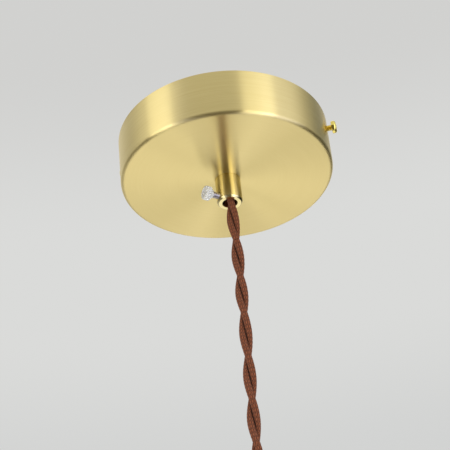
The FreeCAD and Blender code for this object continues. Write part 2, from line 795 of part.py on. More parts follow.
def make_terminal_barrels():
    barrels = []
    for pole in range(POLES):
        x = pole_x(pole)
        along = ((1, 0, 0), -90.0)
        length = "Dim.barrel_length"
        radius = "Dim.barrel_diameter / 2"
        bar = cylinder(f"BarrelBar{pole}", radius, length, x, BARREL_START, BARREL_Z, *along)
        start = f"{BARREL_START} - 1"
        radius = "Dim.barrel_bore / 2"
        holes = [cylinder(f"BarrelBore{pole}", radius, f"{length} + 2", x, start, BARREL_Z, *along)]
        for row in range(ROWS):
            radius = "Dim.terminal_screw_diameter / 2 + Dim.thread_clearance"
            name = f"BarrelTap{pole}{row}"
            holes.append(cylinder(name, radius, "Dim.barrel_diameter", x, row_y(row), BARREL_Z))
        barrels.append(cut(f"Barrel{pole}", bar, fuse(f"BarrelHoles{pole}", holes)))
    node(group("TerminalBarrels", barrels), "terminal_barrels")


def make_terminal_screws():
    """Slotted grub screws, each down on the wire in its barrel."""
    screws = []
    tip = f"({BARREL_Z} + Dim.ferrule_diameter / 2 + Dim.tip_clearance)"
    top = f"({BLOCK_TOP_Z} - 1)"
    for pole in range(POLES):
        for row in range(ROWS):
            name = f"{pole}{row}"
            radius = "Dim.terminal_screw_diameter / 2"
            bar = cylinder(f"ScrewBar{name}", radius, f"{top} - {tip}", pole_x(pole), row_y(row), tip)
            slot = box(
                f"ScrewSlot{name}", "Dim.terminal_screw_slot", "Dim.terminal_screw_diameter + 1", "2",
                f"{pole_x(pole)} - Dim.terminal_screw_slot / 2",
                f"{row_y(row)} - Dim.terminal_screw_diameter / 2 - 0.5", f"{top} - 1",
            )
            screws.append(cut(f"Screw{name}", bar, slot))
    node(group("TerminalScrews", screws), "terminal_screws")


def make_ferrules():
    """Crimped ends on the two cores and the earth lead, inside the barrels."""
    ends = []
    for pole in range(POLES):
        start = "Dim.block_distance + Dim.block_entry_depth"
        radius = "Dim.ferrule_diameter / 2"
        length = "Dim.ferrule_length"
        name = f"Ferrule{pole}"
        ends.append(cylinder(name, radius, length, pole_x(pole), start, BARREL_Z, (1, 0, 0), -90.0))
    node(group("CoreFerrules", ends), "core_ferrules")


def make_earth_lead():
    """The lead from the lug's barrel round to the block's first pole."""
    azimuth = math.radians(value("Dim.earth_lug_azimuth"))
    start = value(LEAD_START)
    height = value(f"{LUG_Z} + Dim.earth_lug_crimp / 2")
    bend = value("Dim.earth_lug_reach + Dim.earth_lead_bend")
    entry = value("Dim.block_distance + Dim.block_entry_depth")
    pole = value(pole_x(0))
    barrel_z = value(BARREL_Z)
    run_in = entry - value("Dim.earth_lead_run_in")
    out = [(reach * math.cos(azimuth), reach * math.sin(azimuth), height) for reach in (start, bend)]
    points = out + [(pole, run_in, barrel_z), (pole, entry, barrel_z)]
    wire_node("earth_lead", points, value("Dim.earth_lead_diameter"))


# The lampholder ------------------------------------------------------------------


def make_holder_sleeve():
    """A small grip like the one above, upside down, on the lampholder's nipple."""
    body = new_body("HolderSleeve")
    socket = "(Dim.nipple_diameter / 2 + Dim.fit_clearance)"
    outside = "Dim.holder_sleeve_diameter / 2"
    length = "Dim.holder_sleeve_length"
    points = [
        (socket, "0"),
        (outside, "0"),
        (outside, length),
        ("Dim.holder_sleeve_bore / 2", length),
        ("Dim.holder_sleeve_bore / 2", "Dim.holder_socket_depth"),
        (socket, "Dim.holder_socket_depth"),
    ]
    sleeve = turned(body, points)
    upper = ring_edges(sleeve, value(outside), value(length))
    rounded(body, "Chamfer", sleeve, upper, "Dim.grip_edge")
    place(body, z=CAP_Z)
    return node(body, "holder_sleeve")


def make_holder_nipple():
    top = f"({CAP_Z} + Dim.holder_socket_depth - Dim.hole_clearance)"
    bottom = f"({HOLDER_NUT_Z} - Dim.nipple_stand)"
    length = f"({top} - {bottom})"
    item = tube("HolderNipple", "Dim.nipple_diameter / 2", "Dim.nipple_bore / 2", length, bottom)
    return node(item, "holder_nipple")


def make_holder_cap():
    """The round-shouldered upper shell."""
    body = new_body("HolderCap")
    outside = "Dim.holder_cap_diameter / 2"
    inside = f"({outside} - Dim.holder_wall)"
    points = [
        (NIPPLE_HOLE, "0"),
        (outside, "0"),
        (outside, "-Dim.holder_cap_height"),
        (inside, "-Dim.holder_cap_height"),
        (inside, "-Dim.holder_wall"),
        (NIPPLE_HOLE, "-Dim.holder_wall"),
    ]
    cap = turned(body, points)
    shoulder = ring_edges(cap, value(outside), 0.0)
    cap = rounded(body, "Fillet", cap, shoulder, "Dim.holder_cap_shoulder")
    inner = ring_edges(cap, value(inside), -value("Dim.holder_wall"))
    rounded(body, "Fillet", cap, inner, "Dim.holder_cap_shoulder - Dim.holder_wall")
    place(body, z=CAP_Z)
    return node(body, "holder_cap")


def make_holder_shell():
    """The lower shell, with a lip that carries the insulator."""
    body = new_body("HolderShell")
    outside = "Dim.holder_shell_diameter / 2"
    inside = f"({outside} - Dim.holder_wall)"
    lip = f"({outside} - Dim.holder_shell_lip)"
    points = [
        (inside, "Dim.holder_wall"),
        (inside, "Dim.holder_shell_length"),
        (outside, "Dim.holder_shell_length"),
        (outside, "0"),
        (lip, "0"),
        (lip, "Dim.holder_wall"),
    ]
    shell = turned(body, points)
    lower = ring_edges(shell, value(outside), 0.0)
    rounded(body, "Fillet", shell, lower, "Dim.holder_wall - 4 * Dim.fit_clearance")
    place(body, z=SHELL_BOTTOM_Z)
    return node(body, "holder_shell")


INSULATOR_RADIUS = "(Dim.holder_shell_diameter / 2 - Dim.holder_wall - 2 * Dim.fit_clearance)"
THREAD_OUTSIDE = "(Dim.holder_thread_bore / 2 + Dim.holder_thread_wall)"


def make_holder_insulator():
    """The insulating core: a cup for the thread shell, with two wire holes on top."""
    outside = cylinder("InsulatorBody", INSULATOR_RADIUS, "Dim.holder_insulator_height", z=INSULATOR_Z)
    depth = f"{SOCKET_FLOOR_Z} - {INSULATOR_Z}"
    room = cylinder(
        "InsulatorRoom", f"{THREAD_OUTSIDE} + Dim.fit_clearance", f"{depth} + 1", z=f"{INSULATOR_Z} - 1"
    )
    holes = [room]
    screw_z = f"({INSULATOR_TOP_Z} - Dim.holder_core_depth + Dim.core_diameter / 2)"
    for side, sign in (("Right", ""), ("Left", "-")):
        x = f"{sign}Dim.holder_core_spacing / 2"
        radius = "Dim.core_diameter / 2 + Dim.fit_clearance"
        low = f"{INSULATOR_TOP_Z} - Dim.holder_core_depth"
        holes.append(cylinder(f"InsulatorWire{side}", radius, "Dim.holder_core_depth + 1", x, "0", low))
        radius = "Dim.terminal_screw_diameter / 2 + Dim.thread_clearance"
        turn = ((0, 1, 0), float(f"{sign}90"))
        holes.append(cylinder(f"InsulatorTap{side}", radius, INSULATOR_RADIUS, x, "0", screw_z, *turn))
    item = cut("HolderInsulator", outside, fuse("InsulatorCuts", holes))
    return node(item, "holder_insulator")


def make_holder_clamp_screws():
    """Two screws from the sides, each against its core."""
    screws = []
    screw_z = f"({INSULATOR_TOP_Z} - Dim.holder_core_depth + Dim.core_diameter / 2)"
    start = "(Dim.holder_core_spacing / 2 + Dim.core_diameter / 2 + Dim.tip_clearance)"
    end = f"({INSULATOR_RADIUS} - 1)"
    for side, sign in (("Right", ""), ("Left", "-")):
        turn = ((0, 1, 0), float(f"{sign}90"))
        radius = "Dim.terminal_screw_diameter / 2"
        name = f"ClampScrew{side}"
        bar = cylinder(f"{name}Bar", radius, f"{end} - {start}", f"{sign}{start}", "0", screw_z, *turn)
        wide = "Dim.terminal_screw_diameter + 1"
        slot = box(
            f"{name}Slot", "2", "Dim.terminal_screw_slot", wide,
            f"{sign}{end} - 1", "-Dim.terminal_screw_slot / 2", f"{screw_z} - ({wide}) / 2",
        )
        screws.append(cut(name, bar, slot))
    return node(group("HolderClampScrews", screws), "holder_clamp_screws")


def make_holder_contacts():
    """The thread shell that takes the lamp, and the spring strip at its centre."""
    bottom = f"({SOCKET_FLOOR_Z} - Dim.holder_thread_start - Dim.holder_thread_length)"
    inner = "Dim.holder_thread_bore / 2"
    shell = tube("HolderThreadShell", THREAD_OUTSIDE, inner, "Dim.holder_thread_length", bottom)
    node(shell, "holder_thread_shell")
    body = new_body("HolderCentreContact")
    thick = "Dim.holder_contact_thickness"
    rise = "Dim.holder_contact_rise"
    pad_end = "Dim.holder_contact_overhang"
    pad_start = f"({pad_end} - Dim.holder_contact_pad)"
    foot_end = f"({pad_start} - Dim.holder_contact_slope)"
    foot_start = f"({foot_end} - Dim.holder_contact_foot)"
    points = [
        (foot_start, "0"),
        (foot_start, f"-{thick}"),
        (foot_end, f"-{thick}"),
        (pad_start, f"-{rise} - {thick}"),
        (pad_end, f"-{rise} - {thick}"),
        (pad_end, f"-{rise}"),
        (f"{pad_start} + {thick} * 0.8", f"-{rise}"),
        (f"{foot_end} + {thick} * 0.8", "0"),
    ]
    padded(body, outline(body, "ContactOutline", "XZ_Plane", points), "Dim.holder_contact_width")
    place(body, z=SOCKET_FLOOR_Z)
    node(body, "holder_centre_contact")


def make_holder_tails():
    """The two cores from the cord's end, parted to the insulator's wire holes."""
    radius = value("Dim.core_diameter / 2")
    cord_x = value(CORD_X)
    cord_y = value(CORD_Y)
    top = value(HOLDER_CORD_END_Z)
    bottom = value(f"{INSULATOR_TOP_Z} - Dim.holder_core_depth")
    apart = value("Dim.holder_core_spacing / 2")
    nut_z = value(f"{HOLDER_NUT_Z} - Dim.nipple_stand - Dim.holder_core_straight")
    bend = value(f"{INSULATOR_TOP_Z} + Dim.holder_core_bend")
    solids = []
    for side in (-1, 1):
        points = [
            (cord_x + side * radius, cord_y, top),
            (cord_x + side * radius, cord_y, nut_z),
            (side * apart, 0.0, bend),
            (side * apart, 0.0, bottom),
        ]
        solids.append(wire_solid("holder_core_tails", points, 2 * radius))
    item = doc.addObject("Part::Feature", "HolderCoreTails")
    item.Shape = Part.makeCompound(solids)
    item.Placement = FreeCAD.Placement()
    return node(item, "holder_core_tails")


def check_and_write():
    """Stops on any failed object or unsound shape, then writes one file a node."""
    doc.recompute()
    for item in doc.Objects:
        if {"Invalid", "Error"} & set(item.State):
            raise RuntimeError(f"{item.Name} failed: {item.State}")
    for item in NODES:
        if item.Shape.isNull() or not item.Shape.isValid() or not item.Shape.Solids:
            raise RuntimeError(f"{item.Label} has no sound shape")
    os.makedirs("parts", exist_ok=True)
    for item in NODES:
        item.Shape.exportStep(f"parts/{item.Label}.step")
        size = item.Shape.BoundBox
        print(
            f"{item.Label}: {len(item.Shape.Solids)} solid(s), {item.Shape.Volume:.0f} mm3, "
            f"x {size.XMin:.2f}..{size.XMax:.2f} y {size.YMin:.2f}..{size.YMax:.2f} "
            f"z {size.ZMin:.2f}..{size.ZMax:.2f}"
        )


make_bracket()
make_canopy_cup()
make_side_nuts()
make_side_screw("side_screw_right", "", f"{TIGHT_HEAD} + Dim.side_screw_backed_out")
make_side_screw("side_screw_left", "-", TIGHT_HEAD)
make_nipple()
node(hex_nut("NippleNut", NUT_Z), "nipple_nut")
make_lock_washer()
make_earth_lug()
make_grip_sleeve()
make_grip_stud()
make_grip_knob()
make_cord()
make_core_tails()
make_terminal_block()
make_terminal_barrels()
make_terminal_screws()
make_ferrules()
make_earth_lead()
make_holder_sleeve()
make_holder_nipple()
node(hex_nut("HolderNut", HOLDER_NUT_Z), "holder_nut")
make_holder_cap()
make_holder_shell()
make_holder_insulator()
make_holder_clamp_screws()
make_holder_contacts()
make_holder_tails()
check_and_write()
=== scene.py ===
import math

import bmesh
import bpy
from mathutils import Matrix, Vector


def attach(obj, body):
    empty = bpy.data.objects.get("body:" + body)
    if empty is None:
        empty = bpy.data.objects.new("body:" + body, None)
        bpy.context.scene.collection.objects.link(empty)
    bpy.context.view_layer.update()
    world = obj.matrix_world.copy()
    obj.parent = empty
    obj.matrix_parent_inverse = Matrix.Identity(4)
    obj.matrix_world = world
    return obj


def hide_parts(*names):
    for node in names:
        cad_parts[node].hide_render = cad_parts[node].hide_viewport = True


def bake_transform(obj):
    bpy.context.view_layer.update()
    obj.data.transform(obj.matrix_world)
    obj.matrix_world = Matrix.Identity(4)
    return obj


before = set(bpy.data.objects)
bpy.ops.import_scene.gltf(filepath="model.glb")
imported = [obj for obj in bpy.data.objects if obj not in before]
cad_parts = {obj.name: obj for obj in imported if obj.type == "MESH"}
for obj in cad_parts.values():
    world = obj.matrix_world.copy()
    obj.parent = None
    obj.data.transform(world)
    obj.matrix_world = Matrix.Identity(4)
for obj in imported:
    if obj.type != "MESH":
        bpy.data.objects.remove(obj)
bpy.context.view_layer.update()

# Everything is in metres in the part's own frame: the ceiling is at z 0, the cup hangs
# below it, and X runs along the two side screws.
mm = 0.001


# the camera, where the photograph was taken from

camera = {
    "location": (0.09708222, -0.51437737, -0.40372935),
    "turn": (124.22068, 5.00989, 14.45898),
    "lens": 110.019,
    "sensor": 36.0,
    "clip": (0.01, 50.0),
}

lensData = bpy.data.cameras.new("photoCamera")
lensData.lens = camera["lens"]
lensData.sensor_width = camera["sensor"]
lensData.clip_start, lensData.clip_end = camera["clip"]
photoCamera = bpy.data.objects.new("photoCamera", lensData)
photoCamera.location = camera["location"]
photoCamera.rotation_euler = [math.radians(angle) for angle in camera["turn"]]
bpy.context.scene.collection.objects.link(photoCamera)
bpy.context.scene.camera = photoCamera
bpy.context.scene.view_settings.view_transform = "Standard"
print("camera placed")


# small tools for modelling


def leaveEdit():
    bpy.ops.object.mode_set(mode="OBJECT")


def deselectAll():
    if bpy.context.object and bpy.context.object.mode == "EDIT":
        leaveEdit()
    bpy.ops.object.select_all(action="DESELECT")


def takeUp(piece, edit=False):
    # leaves a piece alone selected, and opens it in edit mode where asked
    deselectAll()
    piece.select_set(True)
    bpy.context.view_layer.objects.active = piece
    if edit:
        bpy.ops.object.mode_set(mode="EDIT")


def startPiece(name, shape, **size):
    # adds a primitive at its size and place, and opens it in edit mode
    deselectAll()
    getattr(bpy.ops.mesh, f"primitive_{shape}_add")(**size)
    piece = bpy.context.object
    piece.name = name
    piece.data.name = name
    bpy.ops.object.transform_apply(location=True, rotation=True, scale=True)
    bpy.ops.object.mode_set(mode="EDIT")
    return piece


def pickAll():
    bpy.ops.mesh.select_all(action="SELECT")


def pick(kind, test):
    # selects the vertices or edges whose every end passes a test
    bpy.ops.mesh.select_mode(type=kind)
    bpy.ops.mesh.select_all(action="DESELECT")
    edited = bmesh.from_edit_mesh(bpy.context.object.data)
    for part in edited.verts if kind == "VERT" else edited.edges:
        ends = [part] if kind == "VERT" else part.verts
        if all(test(end.co) for end in ends):
            part.select_set(True)
    bmesh.update_edit_mesh(bpy.context.object.data)


mergeWithin = 1e-6  # points closer than this (m) become one


def mergePoints():
    pickAll()
    bpy.ops.mesh.remove_doubles(threshold=mergeWithin)


def faceOut():
    # points all faces outwards, and leaves edit mode
    pickAll()
    bpy.ops.mesh.normals_make_consistent(inside=False)
    leaveEdit()


def closePiece(piece, sharp=35.0):
    # merges seams, points the faces outwards and smooths all but the sharp edges
    if piece.mode == "EDIT":
        mergePoints()
        faceOut()
    takeUp(piece)
    bpy.ops.object.shade_smooth_by_angle(angle=math.radians(sharp))
    return piece


def applyModifiers(piece):
    takeUp(piece)
    for modifier in list(piece.modifiers):
        bpy.ops.object.modifier_apply(modifier=modifier.name)


def cutWith(piece, tool, operation="DIFFERENCE"):
    modifier = piece.modifiers.new("cut", "BOOLEAN")
    modifier.operation = operation
    modifier.solver = "EXACT"
    modifier.object = tool
    applyModifiers(piece)
    bpy.data.objects.remove(tool)


def drillHole(piece, radius, depth, place, sides, turn=(0, 0, 0)):
    # a round hole: sizes and place in mm, turn in degrees
    drill = startPiece(
        "drill", "cylinder", vertices=sides, radius=radius * mm, depth=depth * mm,
        location=[part * mm for part in place], rotation=[math.radians(angle) for angle in turn],
    )
    leaveEdit()
    cutWith(piece, drill)


def turnedPiece(name, profile, sides, hollow=True, sharp=35.0):
    # a ring is drawn out from point to point of a profile, as on a lathe
    radius, height = profile[0]
    piece = startPiece(
        name, "circle", vertices=sides, radius=radius * mm, location=(0, 0, height * mm),
    )
    bpy.ops.mesh.select_mode(type="EDGE")
    pickAll()
    if not hollow:
        bpy.ops.mesh.edge_face_add()
        pickAll()
    route = profile[1:] + profile[:1] if hollow else profile[1:]
    for nextRadius, nextHeight in route:
        bpy.ops.mesh.extrude_region()
        share = nextRadius / radius
        bpy.ops.transform.resize(value=(share, share, 1), center_override=(0, 0, 0))
        bpy.ops.transform.translate(value=(0, 0, (nextHeight - height) * mm))
        radius, height = nextRadius, nextHeight
    return closePiece(piece, sharp)


def roundCorner(before, corner, after, size, steps):
    # points that round one corner of a profile
    start, middle, end = (Vector(point) for point in (before, corner, after))
    into = (start - middle).normalized()
    away = (end - middle).normalized()
    opening = into.angle(away)
    reach = size / math.tan(opening / 2)
    centre = middle + (into + away).normalized() * (size / math.sin(opening / 2))
    first = middle + into * reach - centre
    last = middle + away * reach - centre
    turn = first.angle_signed(last)
    points = []
    for step in range(steps + 1):
        angle = -turn * step / steps
        points.append((
            centre.x + first.x * math.cos(angle) - first.y * math.sin(angle),
            centre.y + first.x * math.sin(angle) + first.y * math.cos(angle),
        ))
    return points


def softProfile(points, steps):
    # a profile whose points may carry a rounding: (radius, height) or (radius, height, rounding)
    soft = []
    count = len(points)
    for number, point in enumerate(points):
        if len(point) == 2:
            soft.append(point)
            continue
        before, after = points[number - 1][:2], points[(number + 1) % count][:2]
        soft += roundCorner(before, point[:2], after, point[2], steps)
    return soft


# node tools for materials


def newMaterial(name):
    material = bpy.data.materials.new(name)
    material.use_nodes = True
    tree = material.node_tree
    return material, tree, tree.nodes["Principled BSDF"]


def addNode(tree, kind, **settings):
    # a setting is the node's own property, or else the value of its input of that name
    node = tree.nodes.new(kind)
    for name, value in settings.items():
        if hasattr(node, name):
            setattr(node, name, value)
        else:
            node.inputs[name.replace("_", " ")].default_value = value
    return node


def setInputs(node, values):
    for label, value in values.items():
        node.inputs[label].default_value = value


def wire(tree, source, target):
    # links a socket, or writes a plain number or tuple into the target
    if isinstance(source, (int, float, tuple)):
        target.default_value = source
    else:
        tree.links.new(source, target)


def wear(piece, material):
    # gives a piece its material
    piece.data.materials.clear()
    piece.data.materials.append(material)


def mathNode(tree, operation, first, second=None):
    node = addNode(tree, "ShaderNodeMath", operation=operation)
    wire(tree, first, node.inputs[0])
    if second is not None:
        wire(tree, second, node.inputs[1])
    return node.outputs[0]


def newGroup(name, inputs, outputs):
    group = bpy.data.node_groups.new(name, "ShaderNodeTree")
    for label, kind, value in inputs:
        socket = group.interface.new_socket(name=label, in_out="INPUT", socket_type=kind)
        if value is not None:
            socket.default_value = value
    for label, kind in outputs:
        group.interface.new_socket(name=label, in_out="OUTPUT", socket_type=kind)
    return group, group.nodes.new("NodeGroupInput"), group.nodes.new("NodeGroupOutput")


def placeGroup(tree, group, values):
    node = tree.nodes.new("ShaderNodeGroup")
    node.node_tree = group
    setInputs(node, values)
    return node


def vectorParts(tree, vector):
    split = addNode(tree, "ShaderNodeSeparateXYZ")
    wire(tree, vector, split.inputs[0])
    return split.outputs


def rampUp(tree, source, low, high, top=1.0, bottom=0.0, kind="LINEAR"):
    # a mask that goes from bottom to top as the source goes from low to high
    node = addNode(tree, "ShaderNodeMapRange", interpolation_type=kind)
    setInputs(node, {"From Min": low, "From Max": high, "To Min": bottom, "To Max": top})
    wire(tree, source, node.inputs["Value"])
    return node.outputs[0]


noiseRange = (0.3, 0.7)  # where most of a noise texture lies


def spread(tree, source, low=0.0, high=1.0):
    # brings that range of a noise texture to another range
    return rampUp(tree, source, *noiseRange, top=high, bottom=low)


def objectNoise(tree, scale, detail=2.0):
    # a noise texture on the piece's own coordinates
    place = addNode(tree, "ShaderNodeTexCoord")
    noise = addNode(tree, "ShaderNodeTexNoise", Scale=scale, Detail=detail)
    wire(tree, place.outputs["Object"], noise.inputs["Vector"])
    return noise.outputs["Fac"]


def mixColours(tree, mask, first, second):
    # from the first to the second as the mask rises; each is a colour or a socket
    node = addNode(tree, "ShaderNodeMix", data_type="RGBA")
    wire(tree, mask, node.inputs[0])
    for socket, value in ((6, first), (7, second)):
        wire(tree, (*value, 1) if isinstance(value, tuple) else value, node.inputs[socket])
    return node.outputs[2]


def paint(tree, shader, tone, roughness):
    wire(tree, tone, shader.inputs["Base Color"])
    wire(tree, roughness, shader.inputs["Roughness"])


def addBump(tree, shader, height, relief, strength=1.0):
    bump = addNode(tree, "ShaderNodeBump", Strength=strength, Distance=relief)
    wire(tree, height, bump.inputs["Height"])
    wire(tree, bump.outputs[0], shader.inputs["Normal"])


# Concentric tool marks: they run round Z, on a flat face as rings and on a wall as hoops.
markShape = {
    "climb": 1.37,  # what a step up counts beside a step outwards
    "around": 2.2,  # how often the marks change on their way round
    "marks": (3.0, 0.65),  # detail and roughness of the marks, and of the wider bands
    "bands": (2.0, 0.5),
    "flatFrom": 0.3,  # how far a face looks up or down before its marks weaken
    "flatLoss": 0.7,  # what they lose on a level face
    "axis": 1e-4,  # no direction is worked out closer to the axis than this (m)
}


def makeTurnedMarks():
    group, start, end = newGroup(
        "turnedMarks",
        [
            ("Vector", "NodeSocketVector", None),
            ("Fineness", "NodeSocketFloat", 4000.0),
            ("Bands", "NodeSocketFloat", 0.3),
        ],
        [("Marks", "NodeSocketFloat"), ("Bands", "NodeSocketFloat")],
    )

    def work(operation, first, second=None):
        return mathNode(group, operation, first, second)

    x, y, z = vectorParts(group, start.outputs["Vector"])
    radius = work("SQRT", work("ADD", work("MULTIPLY", x, x), work("MULTIPLY", y, y)))
    across = work("ADD", radius, work("MULTIPLY", z, markShape["climb"]))
    # the angle is kept seamless by using the direction itself
    safe = work("MAXIMUM", radius, markShape["axis"])
    joined = addNode(group, "ShaderNodeCombineXYZ")
    wire(group, work("DIVIDE", x, safe), joined.inputs[0])
    wire(group, work("DIVIDE", y, safe), joined.inputs[1])
    wire(group, work("MULTIPLY", across, start.outputs["Fineness"]), joined.inputs[2])
    stretched = addNode(group, "ShaderNodeVectorMath", operation="MULTIPLY")
    stretched.inputs[1].default_value = (markShape["around"], markShape["around"], 1.0)
    wire(group, joined.outputs[0], stretched.inputs[0])
    # marks and bands are weaker on faces that look up or down, where the cut runs flat
    surface = addNode(group, "ShaderNodeNewGeometry")
    level = work("ABSOLUTE", vectorParts(group, surface.outputs["True Normal"])[2])
    loss = rampUp(group, level, markShape["flatFrom"], 1.0, markShape["flatLoss"])
    strength = work("SUBTRACT", 1.0, loss)
    # the marks themselves, and wider bands of tone that are a share as fine
    for label, scale in (("Marks", 1.0), ("Bands", start.outputs["Bands"])):
        detail, roughness = markShape[label.lower()]
        noise = addNode(group, "ShaderNodeTexNoise", Detail=detail, Roughness=roughness)
        wire(group, stretched.outputs[0], noise.inputs["Vector"])
        wire(group, scale, noise.inputs["Scale"])
        away = work("SUBTRACT", noise.outputs["Fac"], 0.5)
        wire(group, work("ADD", work("MULTIPLY", away, strength), 0.5), end.inputs[label])
    return group


turnedMarks = makeTurnedMarks()

brushedBrassLook = {
    "colour": (0.890, 0.745, 0.340),
    "shade": (0.855, 0.706, 0.312),
    "streak": (0.770, 0.610, 0.235),
    "streakShare": 0.5,
    "roughness": (0.290, 0.345),
    "fineness": 2500.0,
    "bands": 0.32,
    "markHeight": 0.0000045,
}
polishedBrassLook = {
    "colour": (0.905, 0.775, 0.385),
    "shade": (0.885, 0.755, 0.365),
    "roughness": (0.20, 0.23),
    "fineness": 9000.0,
    "bands": 0.25,
    "markHeight": 0.0000006,
}


def makeBrass(name, look):
    # turned brass: the gloss is drawn out across the marks, which run round Z
    material, tree, shader = newMaterial(name)
    place = addNode(tree, "ShaderNodeTexCoord")
    group = placeGroup(tree, turnedMarks, {"Fineness": look["fineness"], "Bands": look["bands"]})
    wire(tree, place.outputs["Object"], group.inputs["Vector"])
    marks, bands = group.outputs["Marks"], group.outputs["Bands"]
    tone = mixColours(tree, spread(tree, bands), look["colour"], look["shade"])
    if "streak" in look:
        tone = mixColours(tree, spread(tree, marks, 0.0, look["streakShare"]), tone, look["streak"])
    uneven = marks if "streak" in look else bands
    paint(tree, shader, tone, spread(tree, uneven, *look["roughness"]))
    setInputs(shader, {"Metallic": 1.0, "Anisotropic": 1.0, "Anisotropic Rotation": 0.25})
    around = addNode(tree, "ShaderNodeTangent", direction_type="RADIAL", axis="Z")
    wire(tree, around.outputs[0], shader.inputs["Tangent"])
    addBump(tree, shader, marks, look["markHeight"])
    return material


brushedBrass = makeBrass("brushedBrass", brushedBrassLook)
polishedBrass = makeBrass("polishedBrass", polishedBrassLook)


# the cord

cord = {
    # the middle of the twisted pair, from inside the grip down to the lampholder (mm)
    "route": [
        (0.216, 0.208, -26.0), (0.25, 0.20, -32.0), (0.46, 0.17, -40.0), (0.49, 0.17, -49.0),
        (0.86, 0.21, -62.0), (0.82, 0.21, -78.0), (0.70, 0.18, -100.0), (0.40, 0.12, -122.0),
        (0.02, 0.0, -144.0), (-0.14, -0.02, -160.0), (0.06, 0.15, -174.0), (0.216, 0.208, -185.9),
    ],
    "top": [(0.216, 0.208, height) for height in (-12.0, -17.0, -21.5, -26.0)],  # inside the grip
    "core": 2.98,  # across a core, over its highest threads
    "apart": 1.41,  # from the pair's middle to the middle of a core
    # where one core lies in front of the other, and which way the cores point there
    "crossings": [-38.1, -58.3, -77.9, -96.9, -118.7, -139.3, -159.3, -179.5],
    "crossingAzimuth": -79.3,
    "partAzimuth": -180.0,  # and which way they point at the top
    "carriers": 8,  # bundles of thread that wind each way
    "braidPitch": 15.8,
    "bundleRound": 0.6,  # lower is flatter on top
    "relief": 0.14,
    # groove: the groove between the cores gets painted shade, darker the more a place faces the other
    # core
    "groove": (0.55, 0.42),  # how far a place faces the other core where the groove begins
    "sides": 40,
    "step": 0.19,
}


def readRoute(points):
    # the points of a NURBS spline through a cord's route, as Blender works them out
    data = bpy.data.curves.new("route", "CURVE")
    data.dimensions = "3D"
    data.resolution_u = 32
    spline = data.splines.new("NURBS")
    spline.points.add(len(points) - 1)
    for knot, place in zip(spline.points, points):
        knot.co = (*[part * mm for part in place], 1.0)
    spline.order_u = 3
    spline.use_endpoint_u = True
    line = bpy.data.objects.new("route", data)
    bpy.context.scene.collection.objects.link(line)
    mesh = bpy.data.meshes.new_from_object(line)
    places = [vertex.co.copy() for vertex in mesh.vertices]
    bpy.data.meshes.remove(mesh)
    bpy.data.objects.remove(line)
    return places


def evenly(places, step):
    # the same line with its points a step apart
    distance = [0.0]
    for first, second in zip(places, places[1:]):
        distance.append(distance[-1] + (second - first).length)
    count = max(2, round(distance[-1] / step))
    even = []
    where = 0
    for number in range(count + 1):
        target = distance[-1] * number / count
        while where < len(distance) - 2 and distance[where + 1] < target:
            where += 1
        share = (target - distance[where]) / (distance[where + 1] - distance[where])
        even.append(places[where].lerp(places[where + 1], share))
    return even


def twistAngle(z):
    # the pair turns half round from one crossing to the next; z in metres
    heights = cord["crossings"]
    level = z / mm
    number = 0
    while number < len(heights) - 2 and level < heights[number + 1]:
        number += 1
    share = (heights[number] - level) / (heights[number] - heights[number + 1])
    return math.radians(cord["crossingAzimuth"] + 180.0 * (number + share))


def braidHeight(around, along):
    # how high a plaited cover stands at a place, and which of its two windings is on top there
    turns = along / (cord["braidPitch"] * mm)
    first = cord["carriers"] * (around + turns)
    second = cord["carriers"] * (around - turns)
    over = 1.0 if (math.floor(first) + math.floor(second)) % 2 == 0 else -1.0
    acrossFirst = math.sin(math.pi * (first % 1.0))
    acrossSecond = math.sin(math.pi * (second % 1.0))
    upper = acrossSecond ** cord["bundleRound"] * (0.5 + 0.5 * over * acrossSecond)
    lower = acrossFirst ** cord["bundleRound"] * (0.5 - 0.5 * over * acrossFirst)
    return max(upper, lower), 1.0 if upper > lower else 0.0


def grooveShade(facing):
    # how deep a place lies in the groove beside the other core: the strength of the painted shade there
    start, width = cord["groove"]
    share = min(1.0, max(0.0, (facing - start) / width))
    return share * share * (3 - 2 * share)


def coreTube(centres, partners, radius, vertices, faces, marks, uvs, sides):
    # a braided core along its centre line; partners is the centre line of the core beside it
    base = len(vertices)
    girth = 2 * math.pi * radius
    along = 0.0
    side = None
    for number, centre in enumerate(centres):
        before = centres[max(0, number - 1)]
        after = centres[min(len(centres) - 1, number + 1)]
        heading = (after - before).normalized()
        if side is None:
            side = heading.orthogonal().normalized()
        side = (side - heading * side.dot(heading)).normalized()
        across = heading.cross(side)
        beside = (partners[number] - centre).normalized() if partners else None
        walked = along
        along += (centre - before).length
        for point in range(sides):
            around = point / sides
            angle = 2 * math.pi * around
            height, thread = braidHeight(around, along)
            reach = radius - cord["relief"] * mm * (1.0 - height)
            outward = side * math.cos(angle) + across * math.sin(angle)
            vertices.append(centre + outward * reach)
            # the third mark is the painted shade of the groove between the cores
            marks.append((height, thread, grooveShade(outward.dot(beside)) if beside else 0.0))
            if number:
                low, high = base + (number - 1) * sides, base + number * sides
                other = (point + 1) % sides
                faces.append((low + point, low + other, high + other, high + point))
                left, right = around, (point + 1) / sides
                lower, upper = walked / girth, along / girth
                uvs += [(left, lower), (right, lower), (right, upper), (left, upper)]
    top = base + (len(centres) - 1) * sides
    faces.append(tuple(base + point for point in reversed(range(sides))))
    faces.append(tuple(top + point for point in range(sides)))
    uvs += [(0.5, 0.0)] * (2 * sides)


